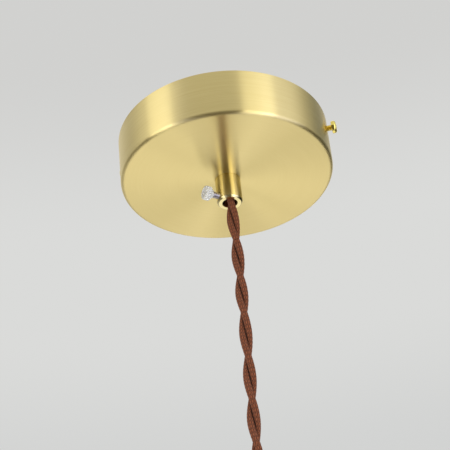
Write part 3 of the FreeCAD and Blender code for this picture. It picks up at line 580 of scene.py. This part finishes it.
def cordPiece(name, lines, radius, sides=cord["sides"], paired=True):
    vertices, faces, marks, uvs = [], [], [], []
    for number, centres in enumerate(lines):
        partners = lines[1 - number] if paired else None
        coreTube(centres, partners, radius, vertices, faces, marks, uvs, sides)
    mesh = bpy.data.meshes.new(name)
    mesh.from_pydata(vertices, [], faces)
    layer = mesh.uv_layers.new(name="UVMap")
    for corner, place in zip(layer.data, uvs):
        corner.uv = place
    # the groove attribute carries the painted shade between the cores
    for column, label in enumerate(("braid", "thread", "groove")):
        attribute = mesh.attributes.new(label, "FLOAT", "POINT")
        attribute.data.foreach_set("value", [values[column] for values in marks])
    mesh.update()
    piece = bpy.data.objects.new(name, mesh)
    bpy.context.scene.collection.objects.link(piece)
    takeUp(piece, edit=True)
    faceOut()
    bpy.ops.object.shade_smooth_by_angle(angle=math.radians(60))
    return piece


def twistedLines(path, angleAt):
    # the two cores' centre lines round the middle of the pair
    lines = [[], []]
    reach = cord["apart"] * mm
    for place in path:
        angle = angleAt(place.z)
        offset = Vector((math.cos(angle), math.sin(angle), 0)) * reach
        lines[0].append(place + offset)
        lines[1].append(place - offset)
    return lines


cordLook = {
    "light": (0.275, 0.082, 0.034),
    "brown": (0.162, 0.051, 0.023),
    # dark: painted shade, laid where the plait lies low and in the groove between the cores
    "dark": (0.022, 0.005, 0.002),
    "fleck": (0.56, 0.26, 0.16),
    # where each colour comes in, from, to and how strongly: the upper winding, pale fibres,
    # and painted shade where the plait lies low and in the groove between the cores
    "threads": (0.1, 0.9),
    "flecks": (0.54, 0.74, 0.75),
    "hollowShade": (0.25, 0.85, 0.9),
    "grooves": (0.0, 1.0, 0.95),
    "roughness": 0.86,
    "sheen": (0.9, 0.6, 0.45),
    "fibres": (46.0, 7.0, 1.0),
    "fibreHeight": 0.00008,
}


def makeFabric():
    material, tree, shader = newMaterial("brownFabric")
    look = cordLook
    height, thread, groove = (
        addNode(tree, "ShaderNodeAttribute", attribute_name=label).outputs["Fac"]
        for label in ("braid", "thread", "groove")
    )
    surface = addNode(tree, "ShaderNodeUVMap")
    stretched = addNode(tree, "ShaderNodeMapping")
    stretched.inputs["Scale"].default_value = look["fibres"]
    wire(tree, surface.outputs[0], stretched.inputs["Vector"])
    noise = addNode(tree, "ShaderNodeTexNoise", Scale=1.0, Detail=4.0, Roughness=0.7)
    wire(tree, stretched.outputs[0], noise.inputs["Vector"])
    fibres = noise.outputs["Fac"]
    # painted shade: the low places of the plait and the groove between the cores darken towards the
    # dark colour
    low = mathNode(tree, "SUBTRACT", 1.0, height)
    tone = look["brown"]
    for mask, reach, colour in (
        (thread, "threads", "light"), (fibres, "flecks", "fleck"),
        (low, "hollowShade", "dark"), (groove, "grooves", "dark"),
    ):
        tone = mixColours(tree, rampUp(tree, mask, *look[reach]), tone, look[colour])
    paint(tree, shader, tone, look["roughness"])
    setInputs(shader, {
        "Specular IOR Level": 0.25,
        "Sheen Weight": 0.15, "Sheen Roughness": 0.5, "Sheen Tint": (*look["sheen"], 1),
    })
    addBump(tree, shader, fibres, look["fibreHeight"], strength=0.8)
    return material


brownFabric = makeFabric()
cordPath = evenly(readRoute(cord["route"]), cord["step"] * mm)
twistedCord = cordPiece("twistedCord", twistedLines(cordPath, twistAngle), cord["core"] / 2 * mm)
wear(twistedCord, brownFabric)
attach(twistedCord, "drop")
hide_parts("cord_drop")

slackStart = twistAngle(cord["top"][-1][2] * mm)
slackTurn = math.radians(cord["partAzimuth"]) - slackStart


def slackAngle(z):
    # inside the grip the pair turns on until its cores lie side by side along X
    top, bottom = cord["top"][0][2] * mm, cord["top"][-1][2] * mm
    return slackStart + slackTurn * (z - bottom) / (top - bottom)


slackPath = evenly(readRoute(cord["top"]), cord["step"] * mm)
cordInGrip = cordPiece("cordInGrip", twistedLines(slackPath, slackAngle), cord["core"] / 2 * mm)
wear(cordInGrip, brownFabric)
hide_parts("cord_in_grip")
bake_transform(cordInGrip)
print("cord made")


# the cup

cup = {
    "radius": 50.0,
    "height": 24.5,
    "wall": 1.0,
    "corner": 1.9,
    "rimRound": 0.2,
    "hole": 5.2,
    "holeRound": 0.15,
    "screwDrop": 7.8,
    "screwHole": 1.55,
    "sides": 256,
}


def makeCup():
    radius, height, wall = cup["radius"], cup["height"], cup["wall"]
    profile = softProfile([
        (cup["hole"], -height, cup["holeRound"]),
        (radius, -height, cup["corner"]),
        (radius, 0.0, cup["rimRound"]),
        (radius - wall, 0.0, cup["rimRound"]),
        (radius - wall, -height + wall, cup["corner"] / 2),
        (cup["hole"], -height + wall, cup["holeRound"]),
    ], steps=8)
    piece = turnedPiece("canopyCup", profile, sides=cup["sides"])
    # one drill goes through both walls, for both side screws
    place, depth = (0, 0, -cup["screwDrop"]), 2.4 * radius
    drillHole(piece, cup["screwHole"], depth, place, sides=32, turn=(0, 90, 0))
    return closePiece(piece)


canopyCup = makeCup()
wear(canopyCup, brushedBrass)
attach(canopyCup, "canopy")
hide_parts("canopy_cup")
print("cup made")


# the cord grip

grip = {
    "radius": 6.0,
    "top": -24.5,
    "bottom": -37.9,
    "bore": 3.5,
    "socket": 5.05,
    "socketDepth": 6.0,
    "edge": 0.8,
    "edgeRound": 0.12,
    "chamferRound": 0.25,
    "mouthRound": 0.2,
    "screwAzimuth": 223.9,
    "screwHeight": -35.4,
    "screwHole": 1.55,
    "screwHoleDepth": 5.0,
}


def makeGrip():
    top, bottom, fine = grip["top"], grip["bottom"], grip["edgeRound"]
    profile = softProfile([
        (grip["socket"], top),
        (grip["radius"], top, fine),
        (grip["radius"], bottom + grip["edge"], grip["chamferRound"]),
        (grip["radius"] - grip["edge"], bottom, fine),
        (grip["bore"], bottom, grip["mouthRound"]),
        (grip["bore"], top - grip["socketDepth"]),
        (grip["socket"], top - grip["socketDepth"]),
    ], steps=4)
    piece = turnedPiece("gripSleeve", profile, sides=160, sharp=25.0)
    # the hole that the grip's screw goes through
    turn = math.radians(grip["screwAzimuth"])
    reach = (grip["bore"] + grip["radius"]) / 2
    place = (reach * math.cos(turn), reach * math.sin(turn), grip["screwHeight"])
    drillHole(
        piece, grip["screwHole"], grip["screwHoleDepth"], place, sides=40,
        turn=(0, 90, grip["screwAzimuth"]),
    )
    return closePiece(piece, sharp=25.0)


gripSleeve = makeGrip()
wear(gripSleeve, polishedBrass)
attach(gripSleeve, "canopy")
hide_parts("grip_sleeve")
print("grip made")


# screws and threads


threadCut = {
    # shares of the pitch: the depth, and how far a flat and a flank run along the axis
    "depth": 0.6,
    "flat": 0.14,
    "flank": 0.36,
    "before": 1.5,  # turns wound before the start, later cut off
    "extra": 3,  # turns wound in all beyond the length
    "steps": 28,
    "tip": 0.35,
    "clear": 0.02,
    "sharp": 28.0,
}


def woundThread(name, radius, moves, pitch, start, end, steps):
    # draws one wave of a thread by its moves out and up (mm), and winds it up Z past both ends
    piece = startPiece(name, "plane", size=1.0)
    bpy.ops.mesh.delete(type="ONLY_FACE")
    pickAll()
    bpy.ops.mesh.merge(type="CENTER")
    pickAll()
    low = start - threadCut["before"] * pitch
    bpy.ops.transform.translate(value=(radius * mm, 0, low * mm))
    for out, up in moves:
        bpy.ops.mesh.extrude_vertices_move()
        bpy.ops.transform.translate(value=(out * mm, 0, up * mm))
    leaveEdit()
    winding = piece.modifiers.new("winding", "SCREW")
    winding.axis = "Z"
    winding.angle = 2 * math.pi
    winding.screw_offset = pitch * mm
    winding.iterations = math.ceil((end - start) / pitch) + threadCut["extra"]
    winding.steps = winding.render_steps = steps
    winding.use_merge_vertices = True
    winding.merge_threshold = mergeWithin
    applyModifiers(piece)
    takeUp(piece, edit=True)
    return piece


def cutAcross(height, above, fill):
    # cuts all that is selected at a height (mm) and takes away what is above or below it
    bpy.ops.mesh.bisect(
        plane_co=(0, 0, height * mm), plane_no=(0, 0, 1), use_fill=fill,
        clear_inner=not above, clear_outer=above,
    )


def threadedRod(name, radius, pitch, start, end, tip=threadCut["tip"], steps=threadCut["steps"]):
    # a screw thread wound up Z from start to end, with a chamfered tip at the start
    depth, flat, flank = (threadCut[share] * pitch for share in ("depth", "flat", "flank"))
    outer = radius + threadCut["clear"]
    moves = ((0.0, flat), (depth, flank), (0.0, flat), (-depth, flank))
    piece = woundThread(name, radius - depth, moves, pitch, start, end, steps)
    mergePoints()
    cutAcross(start, False, True)
    pickAll()
    cutAcross(end, True, True)
    closePiece(piece)
    blank = turnedPiece("blank", [
        (radius - tip, start), (outer, start + tip + threadCut["clear"]), (outer, end + 1.0),
    ], sides=48, hollow=False)
    cutWith(piece, blank, "INTERSECT")
    return closePiece(piece, threadCut["sharp"])


def settle(piece, turn, place):
    # turns a piece made along Z to its axis (degrees) and moves it to its place (mm), in its mesh
    takeUp(piece)
    piece.rotation_euler = [math.radians(angle) for angle in turn]
    piece.location = [part * mm for part in place]
    bpy.ops.object.transform_apply(location=True, rotation=True, scale=True)


plating = {
    "shade": 0.82,  # how dark the darker patches are
    "patches": 315.0,
    "grain": 1800.0,
    "relief": 0.000004,
}


def metalMaterial(name, colour, roughness):
    # plated metal: small patches of tone, fine handling marks and a little unevenness
    material, tree, shader = newMaterial(name)
    patches = objectNoise(tree, plating["patches"], detail=3.0)
    darker = tuple(part * plating["shade"] for part in colour)
    tone = mixColours(tree, spread(tree, patches), colour, darker)
    paint(tree, shader, tone, spread(tree, patches, *roughness))
    setInputs(shader, {"Metallic": 1.0})
    addBump(tree, shader, objectNoise(tree, plating["grain"]), plating["relief"])
    return material


goldPlate = metalMaterial("goldPlate", (0.93, 0.76, 0.20), (0.06, 0.14))
zincSteel = metalMaterial("zincSteel", (0.60, 0.57, 0.56), (0.22, 0.38))
plainBrass = metalMaterial("plainBrass", (0.80, 0.62, 0.28), (0.22, 0.40))

sideScrew = {
    "thread": 1.5,
    "pitch": 0.5,
    "length": 8.0,
    "overlap": 0.1,
    "head": 3.0,
    "headRound": 1.2,
    "edgeRound": 0.12,
    "edgeHeight": 0.3,  # what stays straight on a low head
    "middle": 0.3,  # radius of the flat that closes the head
    "recessArm": 1.75,
    "recessWidth": 0.85,
    "recessDepth": 1.25,
    "recessTaper": 0.62,
    "drop": 7.8,
    # how far out the head sits, and how high it is
    "right": (52.4, 2.2),
    "left": (50.3, 1.4),
}


def makeSideScrew(name, node, body, side, turn):
    size = sideScrew
    seat, headHeight = size[side]
    start, end = seat - size["length"], seat + size["overlap"]
    shank = threadedRod("shank", size["thread"], size["pitch"], start, end)
    top, taper = seat + headHeight, size["recessTaper"]
    rounding = min(size["headRound"], headHeight - size["edgeHeight"])
    screw = turnedPiece("head", softProfile([
        (size["middle"], seat), (size["head"], seat, size["edgeRound"]),
        (size["head"], top, rounding), (size["middle"], top),
    ], steps=7), sides=64, hollow=False)
    for quarter in (0, 90):
        slot = startPiece(
            "slot", "cube", size=1.0, location=(0, 0, top * mm),
            scale=(2 * size["recessArm"] * mm, size["recessWidth"] * mm, 2 * size["recessDepth"] * mm),
            rotation=(0, 0, math.radians(quarter)),
        )
        pick("VERT", lambda co: co.z < top * mm)
        bpy.ops.transform.resize(value=(taper, taper, 1), center_override=(0, 0, 0))
        leaveEdit()
        cutWith(screw, slot)
    takeUp(screw)
    shank.select_set(True)
    bpy.ops.object.join()
    screw.name = name
    screw.data.name = name
    settle(screw, (0, turn, 0), (0, 0, -size["drop"]))
    closePiece(screw, sharp=32.0)
    wear(screw, goldPlate)
    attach(screw, body)
    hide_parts(node)


makeSideScrew("sideScrewRight", "side_screw_right", "right_screw", "right", 90)
makeSideScrew("sideScrewLeft", "side_screw_left", "left_screw", "left", -90)
print("side screws made")

gripScrew = {
    "thread": 1.5,
    "pitch": 0.5,
    "tip": 2.7,
    "end": 12.7,
    "azimuth": 223.9,
    "height": -35.4,
    "clearance": 0.05,
    "knob": 3.35,
    "knobFace": 9.3,
    "neck": 1.95,
    "neckRounds": (0.1, 0.15, 0.2),
    "discFace": 10.6,
    "dish": 0.3,  # how far the disc's back slopes down to the neck
    "knobEnd": 13.5,
    "knobEdge": 0.55,
    "recess": (2.1, 1.8, 0.35, 0.1),  # the hollow in its end: radius, floor's radius, depth, rounding
    "middle": 0.2,
    "flutes": 14,
    "fluteDepth": 0.42,
    "fluteRim": 0.7,  # how far in from its outside the flutes reach
    "fluteSteps": 6,
    "fluteShape": ((0, 1.0), (1, 0.72)),  # steps from a flute's middle, and the share of its depth
    "near": 0.1,  # how exactly a vertex is found, as a share of a step
    "sharp": 40.0,
}


def makeGripScrew():
    size = gripScrew
    turn, place = (0, 90, size["azimuth"]), (0, 0, size["height"])
    stud = threadedRod("gripScrewStud", size["thread"], size["pitch"], size["tip"], size["end"])
    settle(stud, turn, place)
    closePiece(stud, threadCut["sharp"])
    wear(stud, zincSteel)
    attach(stud, "grip_stud")
    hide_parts("grip_screw_stud")
    bore, face, end = size["thread"] + size["clearance"], size["knobFace"], size["knobEnd"]
    deep, back = size["end"] + size["clearance"], size["discFace"]
    mouth, floor, recess, recessRound = size["recess"]
    boreRound, faceRound, neckRound = size["neckRounds"]
    steps, middle = size["fluteSteps"], size["middle"]
    knob = turnedPiece("gripScrewKnob", softProfile([
        (bore, face, boreRound), (size["neck"], face, faceRound),
        (size["neck"], back - size["dish"], neckRound),
        (size["knob"], back, size["knobEdge"]), (size["knob"], end, size["knobEdge"]),
        (mouth, end, recessRound), (floor, end - recess, recessRound),
        (middle, end - recess), (middle, deep), (bore, deep),
    ], steps=4), sides=size["flutes"] * steps, sharp=size["sharp"])
    takeUp(knob, edit=True)
    share = 2 * math.pi / size["flutes"]
    rim = (size["knob"] - size["fluteRim"]) * mm

    def inFlute(co, step):
        # whether a place is that many steps from a flute's middle, in the knob's outer part
        angle = math.atan2(co.y, co.x) % share
        off = abs(min(angle, share - angle) - step * share / steps)
        return off < size["near"] * share / steps and math.hypot(co.x, co.y) > rim

    for step, depth in size["fluteShape"]:
        pick("VERT", lambda co: inFlute(co, step))
        narrow = 1.0 - depth * size["fluteDepth"] / size["knob"]
        bpy.ops.transform.resize(value=(narrow, narrow, 1), center_override=(0, 0, 0))
    # closes the small holes left on the axis, whose vertices lie within a little more than their radius
    wide, tall = 1.25 * middle * mm, 0.01 * mm
    for height in (end - recess, deep):
        pick("VERT", lambda co: math.hypot(co.x, co.y) < wide and abs(co.z - height * mm) < tall)
        bpy.ops.mesh.merge(type="CENTER")
    pick("EDGE", lambda co: math.hypot(co.x, co.y) < mergeWithin)
    bpy.ops.mesh.delete(type="EDGE")
    closePiece(knob, size["sharp"])
    settle(knob, turn, place)
    closePiece(knob, size["sharp"])
    wear(knob, makeClearPlastic())
    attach(knob, "grip_knob")
    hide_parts("grip_screw_knob")


clearPlasticLook = {
    "colours": ((0.99, 0.99, 0.97), (0.95, 0.955, 0.93)),
    "roughness": (0.02, 0.14),
    "haze": 700.0,
}


def makeClearPlastic():
    material, tree, shader = newMaterial("clearPlastic")
    haze = objectNoise(tree, clearPlasticLook["haze"])
    tone = mixColours(tree, spread(tree, haze), *clearPlasticLook["colours"])
    paint(tree, shader, tone, spread(tree, haze, *clearPlasticLook["roughness"]))
    setInputs(shader, {"Transmission Weight": 0.42, "IOR": 1.49})
    return material


makeGripScrew()
print("grip screw made")


# inside the cup: threaded tubes, nuts, block and leads

nipples = {
    "radius": 5.0,
    "bore": 3.5,
    "pitch": 1.0,
    "chamfer": 0.5,
    "cup": (-30.3, -18.1),
    "holder": (-192.5, -182.1),
    "steps": 48,
}


def threadedTube(name, node, body, start, end):
    size = nipples
    piece = threadedRod(name, size["radius"], size["pitch"], start, end, size["chamfer"], size["steps"])
    drillHole(piece, size["bore"], 2 * (end - start), (0, 0, (start + end) / 2), sides=64)
    closePiece(piece, threadCut["sharp"])
    wear(piece, zincSteel)
    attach(piece, body)
    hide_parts(node)


threadedTube("hollowNipple", "hollow_nipple", "canopy", *nipples["cup"])
threadedTube("holderNipple", "holder_nipple", "drop", *nipples["holder"])

whitePlasticLook = {
    "colours": ((0.84, 0.83, 0.78), (0.79, 0.78, 0.72)),
    "roughness": (0.38, 0.52),
    "cloud": 120.0,
    "grain": 2600.0,
    "relief": 0.000006,
}


def makeWhitePlastic():
    # matt moulding: a faint grain and a little unevenness of tone
    material, tree, shader = newMaterial("whitePlastic")
    look = whitePlasticLook
    cloud, grain = objectNoise(tree, look["cloud"], detail=3.0), objectNoise(tree, look["grain"])
    tone = mixColours(tree, spread(tree, cloud), *look["colours"])
    paint(tree, shader, tone, spread(tree, grain, *look["roughness"]))
    addBump(tree, shader, grain, look["relief"])
    return material


whitePlastic = makeWhitePlastic()

leads = {
    # the middle of each lead (mm), as it runs from the grip or the lug to the block
    "lineTail": [
        (1.636, 0.208, -12.0), (1.636, 0.208, -4.85), (5.466, 11.5, -5.85),
        (8.0, 16.5, -18.5), (8.0, 24.0, -18.5),
    ],
    "neutralTail": [
        (-1.204, 0.208, -12.0), (-1.204, 0.208, -4.85), (-0.494, 11.5, -5.85),
        (0.0, 16.5, -18.5), (0.0, 24.0, -18.5),
    ],
    "earthLead": [(-5.0, 8.66, -21.8), (-8.6, 14.896, -21.8), (-8.0, 19.5, -18.5), (-8.0, 24.0, -18.5)],
    "holderTails": [
        [(1.626, 0.208, -185.9), (1.666, 0.208, -194.7), (5.0, 0.0, -199.6), (5.0, 0.0, -206.1)],
        [(-1.194, 0.208, -185.9), (-1.234, 0.208, -194.7), (-5.0, 0.0, -199.6), (-5.0, 0.0, -206.1)],
    ],
    "core": 2.9,
    "earth": 2.2,
    "sides": 28,
    "step": 0.25,
}
earthLook = {
    "green": (0.045, 0.21, 0.035),
    "yellow": (0.72, 0.56, 0.03),
    "stripes": 2.0,
    "wind": 0.12,  # turns of a stripe in a length as long as the lead is round
    "edge": (0.26, 0.29),
    "roughness": (0.30, 0.44),
    "grain": 1800.0,
}


def makeEarthPlastic():
    # green with two yellow stripes that wind slowly round
    material, tree, shader = newMaterial("earthPlastic")
    look = earthLook
    around, along = vectorParts(tree, addNode(tree, "ShaderNodeUVMap").outputs[0])[:2]
    winding = mathNode(tree, "ADD", around, mathNode(tree, "MULTIPLY", along, look["wind"]))
    turns = mathNode(tree, "FRACT", mathNode(tree, "MULTIPLY", winding, look["stripes"]))
    stripe = rampUp(tree, mathNode(tree, "PINGPONG", turns, 0.5), *look["edge"])
    tone = mixColours(tree, stripe, look["green"], look["yellow"])
    grain = objectNoise(tree, look["grain"])
    paint(tree, shader, tone, spread(tree, grain, *look["roughness"]))
    return material


fabric, earth = (brownFabric, "brown_fabric"), (makeEarthPlastic(), "earth_green")
for name, node, body, routes, width, (material, slotName) in (
    ("lineCoreTail", "line_core_tail", "canopy", [leads["lineTail"]], "core", fabric),
    ("neutralCoreTail", "neutral_core_tail", "canopy", [leads["neutralTail"]], "core", fabric),
    ("earthLead", "earth_lead", "canopy", [leads["earthLead"]], "earth", earth),
    ("holderCoreTails", "holder_core_tails", "drop", leads["holderTails"], "core", fabric),
):
    lines = [evenly(readRoute(points), leads["step"] * mm) for points in routes]
    piece = cordPiece(name, lines, leads[width] / 2 * mm, leads["sides"], paired=False)
    wear(piece, material)
    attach(piece, body)
    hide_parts(node)
print("nipples and leads made")


# the lampholder, below the picture's lower edge

holder = {
    "bore": 3.5,
    "sleeve": (6.0, -175.9, -187.9),
    "socket": (5.05, -182.0),
    "edge": 0.6,
    "mouthRound": 0.4,
    "cap": (20.0, -187.9, -205.9),
    "capHole": 5.2,
    "shoulder": 7.0,
    "capEdge": 0.25,
    "shell": (19.0, -200.9, -236.9),
    "wall": 0.8,
    "lip": 2.8,
    "lipRounds": (0.6, 0.3),  # outside, and in the corner behind it
    "edgeRound": 0.12,
    "softRound": 0.2,
    "capGrooves": [-202.6, -203.8],
    "shellGrooves": [-209.0, -210.2, -229.6, -230.8],
    "groove": (0.25, 0.6),
    "grooveFloor": (0.3, 0.7),  # shares of a groove's width between which it is at its deepest
    "sides": 160,
}


def grooved(radius, grooves):
    # points down a wall that has shallow turned grooves
    depth, width = holder["groove"]
    first, last = holder["grooveFloor"]
    points = []
    for top in grooves:
        points += [
            (radius, top), (radius - depth, top - first * width),
            (radius - depth, top - last * width), (radius, top - width),
        ]
    return points


def makeHolderSleeve():
    radius, top, end = holder["sleeve"]
    socket, socketTop = holder["socket"]
    edge, fine = holder["edge"], holder["edgeRound"]
    return turnedPiece("holderSleeve", softProfile([
        (holder["bore"], top, holder["mouthRound"]), (radius - edge, top, fine),
        (radius, top - edge, holder["softRound"]), (radius, end, fine),
        (socket, end), (socket, socketTop), (holder["bore"], socketTop),
    ], steps=4), sides=96, sharp=25.0)


def makeHolderCap():
    radius, top, end = holder["cap"]
    wall, hole, shoulder = holder["wall"], holder["capHole"], holder["shoulder"]
    return turnedPiece("holderCap", softProfile([
        (hole, top), (radius, top, shoulder), *grooved(radius, holder["capGrooves"]),
        (radius, end, holder["capEdge"]), (radius - wall, end, holder["softRound"]),
        (radius - wall, top - wall, shoulder - wall), (hole, top - wall),
    ], steps=12), sides=holder["sides"], sharp=40.0)


def makeHolderShell():
    radius, top, end = holder["shell"]
    wall, lip, soft = holder["wall"], holder["lip"], holder["softRound"]
    outside, inside = holder["lipRounds"]
    return turnedPiece("holderShell", softProfile([
        (radius - wall, top), (radius, top, soft), *grooved(radius, holder["shellGrooves"]),
        (radius, end, outside), (radius - lip, end, soft),
        (radius - lip, end + wall, soft), (radius - wall, end + wall, inside),
    ], steps=6), sides=holder["sides"], sharp=40.0)


lampThread = {
    "radius": 13.5,
    "depth": 0.55,
    "pitch": 3.62,
    "wall": 0.3,
    "top": -216.1,
    "end": -234.1,
    "points": 12,
    "steps": 72,
}


def makeLampThread():
    # a rolled shell: the wave is wound up, cut level and given its thickness
    size = lampThread
    half, points = size["depth"] / 2, size["points"]

    def wave(number):
        return size["radius"] - half + half * math.cos(2 * math.pi * number / points)

    moves = [(wave(number + 1) - wave(number), size["pitch"] / points) for number in range(points)]
    piece = woundThread(
        "holderThreadShell", wave(0), moves, size["pitch"], size["end"], size["top"], size["steps"],
    )
    for height, above in ((size["end"], False), (size["top"], True)):
        mergePoints()
        cutAcross(height, above, False)
    faceOut()
    sheet = piece.modifiers.new("sheet", "SOLIDIFY")
    sheet.thickness = size["wall"] * mm
    sheet.offset = -1.0
    applyModifiers(piece)
    return closePiece(piece, sharp=50.0)


for piece, node, material, slotName in (
    (makeHolderSleeve(), "holder_sleeve", polishedBrass, "polished_brass"),
    (makeHolderCap(), "holder_cap", brushedBrass, "brushed_brass"),
    (makeHolderShell(), "holder_shell", brushedBrass, "brushed_brass"),
    (makeLampThread(), "holder_thread_shell", plainBrass, "plain_brass"),
):
    wear(piece, material)
    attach(piece, "drop")
    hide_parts(node)
print("lampholder made")

# CAD nodes whose shape is right keep it and get a finish
for material, names in (
    (zincSteel, (
        "mounting_bracket", "side_screw_nuts", "nipple_nut", "lock_washer", "earth_lug",
        "terminal_screws", "core_ferrules", "holder_nut", "holder_clamp_screws",
    )),
    (whitePlastic, ("terminal_block", "holder_insulator")),
    (plainBrass, ("terminal_barrels", "holder_centre_contact")),
):
    for name in names:
        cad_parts[name].material_slots[0].material = material
print("fittings finished")


# the studio

studio = {
    # the plain backdrop from the bottom to the top, and the sines of the elevations between
    # which it changes
    "backdrop": ((0.645, 0.652, 0.645), (0.702, 0.706, 0.694), (0.638, 0.638, 0.626)),
    "backdropRanges": ((0.40, 0.50), (0.55, 0.66)),
    "floor": (0.80, 0.80, 0.79),
    "floorShade": 0.98,
    "floorZ": -1.5,
    "floorSize": 60.0,
    # a panel that lights the floor alone: its height, width and brightness
    "floorPanel": (-0.55, 7.0, 0.12),
    # the white sweep that the metal sees under and behind it: place, width, length, brightness
    "sweep": ((-0.29, 2.70, -1.48), 2.40, 4.7, 0.70),
}


def makeFloor():
    deselectAll()
    bpy.ops.mesh.primitive_plane_add(size=studio["floorSize"], location=(0, 0, studio["floorZ"]))
    floor = bpy.context.object
    floor.name = "studioFloor"
    floor.visible_glossy = False
    material, tree, shader = newMaterial("studioFloor")
    pale = studio["floor"]
    duller = tuple(part * studio["floorShade"] for part in pale)
    paint(tree, shader, mixColours(tree, objectNoise(tree, scale=2.0), pale, duller), roughness=0.9)
    floor.data.materials.append(material)


lights = {
    # azimuth, distance, low and high edge (m), width (m), brightness of the panel
    "leftSoftbox": (-139.5, 1.9, -2.6, 0.5, 0.92, 1.45),
    "rightSoftbox": (-41.0, 1.9, -2.6, 0.5, 1.10, 1.49),
}


def makePanel(name, place, turn, width, height, brightness):
    # a soft light that the camera doesn't see
    data = bpy.data.lights.new(name, "AREA")
    data.shape = "RECTANGLE"
    data.size = width
    data.size_y = height
    data.energy = brightness * math.pi * width * height
    light = bpy.data.objects.new(name, data)
    light.location = place
    light.rotation_euler = [math.radians(angle) for angle in turn]
    light.visible_camera = False
    bpy.context.scene.collection.objects.link(light)


surround = {
    # what the metal sees round it, an even light and soft fields: azimuth, half width, softness
    # (degrees), colour; a field below 0 takes light away
    "even": (0.120, 0.105, 0.085),
    "low": [
        (122.0, 34.0, 22.0, (0.28, 0.285, 0.31)),
        (-16.0, 17.0, 13.0, (1.20, 1.26, 1.75)),
        (43.0, 4.0, 24.0, (-0.12, -0.105, -0.085)),
        (-127.0, 8.0, 12.0, (0.50, 0.53, 0.75)),
    ],
    # what is added to that above the horizon, coming in between two sines of the elevation
    "upperEven": (0.64, 0.655, 0.67),
    "upper": [
        (-20.0, 10.0, 30.0, (0.20, 0.20, 0.20)),
        (-16.0, 17.0, 13.0, (-1.25, -1.30, -1.75)),
        (-127.0, 8.0, 12.0, (-0.62, -0.65, -0.85)),
        (43.0, 4.0, 18.0, (-0.31, -0.31, -0.32)),
        (140.0, 30.0, 20.0, (-0.24, -0.24, -0.24)),
        (-150.0, 12.0, 22.0, (0.34, 0.34, 0.34)),
    ],
    "rise": (-0.02, 0.26),
}


def makeSurround():
    world = bpy.data.worlds.new("studio")
    bpy.context.scene.world = world
    world.use_nodes = True
    tree = world.node_tree
    tree.nodes.clear()
    x, y, height = vectorParts(tree, addNode(tree, "ShaderNodeTexCoord").outputs["Generated"])
    level = addNode(tree, "ShaderNodeCombineXYZ")
    wire(tree, x, level.inputs[0])
    wire(tree, y, level.inputs[1])
    heading = addNode(tree, "ShaderNodeVectorMath", operation="NORMALIZE")
    wire(tree, level.outputs[0], heading.inputs[0])

    def rising(source, low, high):
        return rampUp(tree, source, low, high, kind="SMOOTHSTEP")

    def addLight(mask, colour, total):
        node = addNode(tree, "ShaderNodeVectorMath", operation="MULTIPLY_ADD")
        for socket, value in zip(node.inputs, (mask, colour, total)):
            wire(tree, value, socket)
        return node.outputs[0]

    def addFields(fields, total):
        for azimuth, half, soft, colour in fields:
            angle = math.radians(azimuth)
            facing = addNode(tree, "ShaderNodeVectorMath", operation="DOT_PRODUCT")
            wire(tree, heading.outputs[0], facing.inputs[0])
            wire(tree, (math.cos(angle), math.sin(angle), 0), facing.inputs[1])
            low = math.cos(math.radians(half + soft))
            high = math.cos(math.radians(max(0.0, half - soft)))
            total = addLight(rising(facing.outputs["Value"], low, high), colour, total)
        return total

    lower = addFields(surround["low"], surround["even"])
    upper = addFields(surround["upper"], surround["upperEven"])
    total = addLight(rising(height, *surround["rise"]), upper, lower)
    glow = addNode(tree, "ShaderNodeBackground")
    wire(tree, total, glow.inputs["Color"])
    # the camera sees a plain backdrop, a little paler in the middle
    plain = addNode(tree, "ShaderNodeBackground")
    bottom, middle, top = studio["backdrop"]
    rise, fall = (rising(height, *reach) for reach in studio["backdropRanges"])
    backdrop = mixColours(tree, fall, mixColours(tree, rise, bottom, middle), top)
    wire(tree, backdrop, plain.inputs["Color"])
    seen = addNode(tree, "ShaderNodeLightPath")
    choose = addNode(tree, "ShaderNodeMixShader")
    wire(tree, seen.outputs["Is Camera Ray"], choose.inputs[0])
    wire(tree, glow.outputs[0], choose.inputs[1])
    wire(tree, plain.outputs[0], choose.inputs[2])
    out = addNode(tree, "ShaderNodeOutputWorld")
    wire(tree, choose.outputs[0], out.inputs[0])


makeFloor()
for name, (azimuth, distance, low, high, width, brightness) in lights.items():
    angle = math.radians(azimuth)
    place = (distance * math.cos(angle), distance * math.sin(angle), (low + high) / 2)
    makePanel(name, place, (90, 0, azimuth + 90), width, high - low, brightness)
panelZ, panelWidth, panelLight = studio["floorPanel"]
makePanel("floorPanel", (0, 0, panelZ), (0, 0, 0), panelWidth, panelWidth, panelLight)
sweepPlace, sweepWidth, sweepLength, sweepLight = studio["sweep"]
makePanel("whiteSweep", sweepPlace, (180, 0, 0), sweepWidth, sweepLength, sweepLight)
makeSurround()
print("studio made")


# the end

print("scene finished")
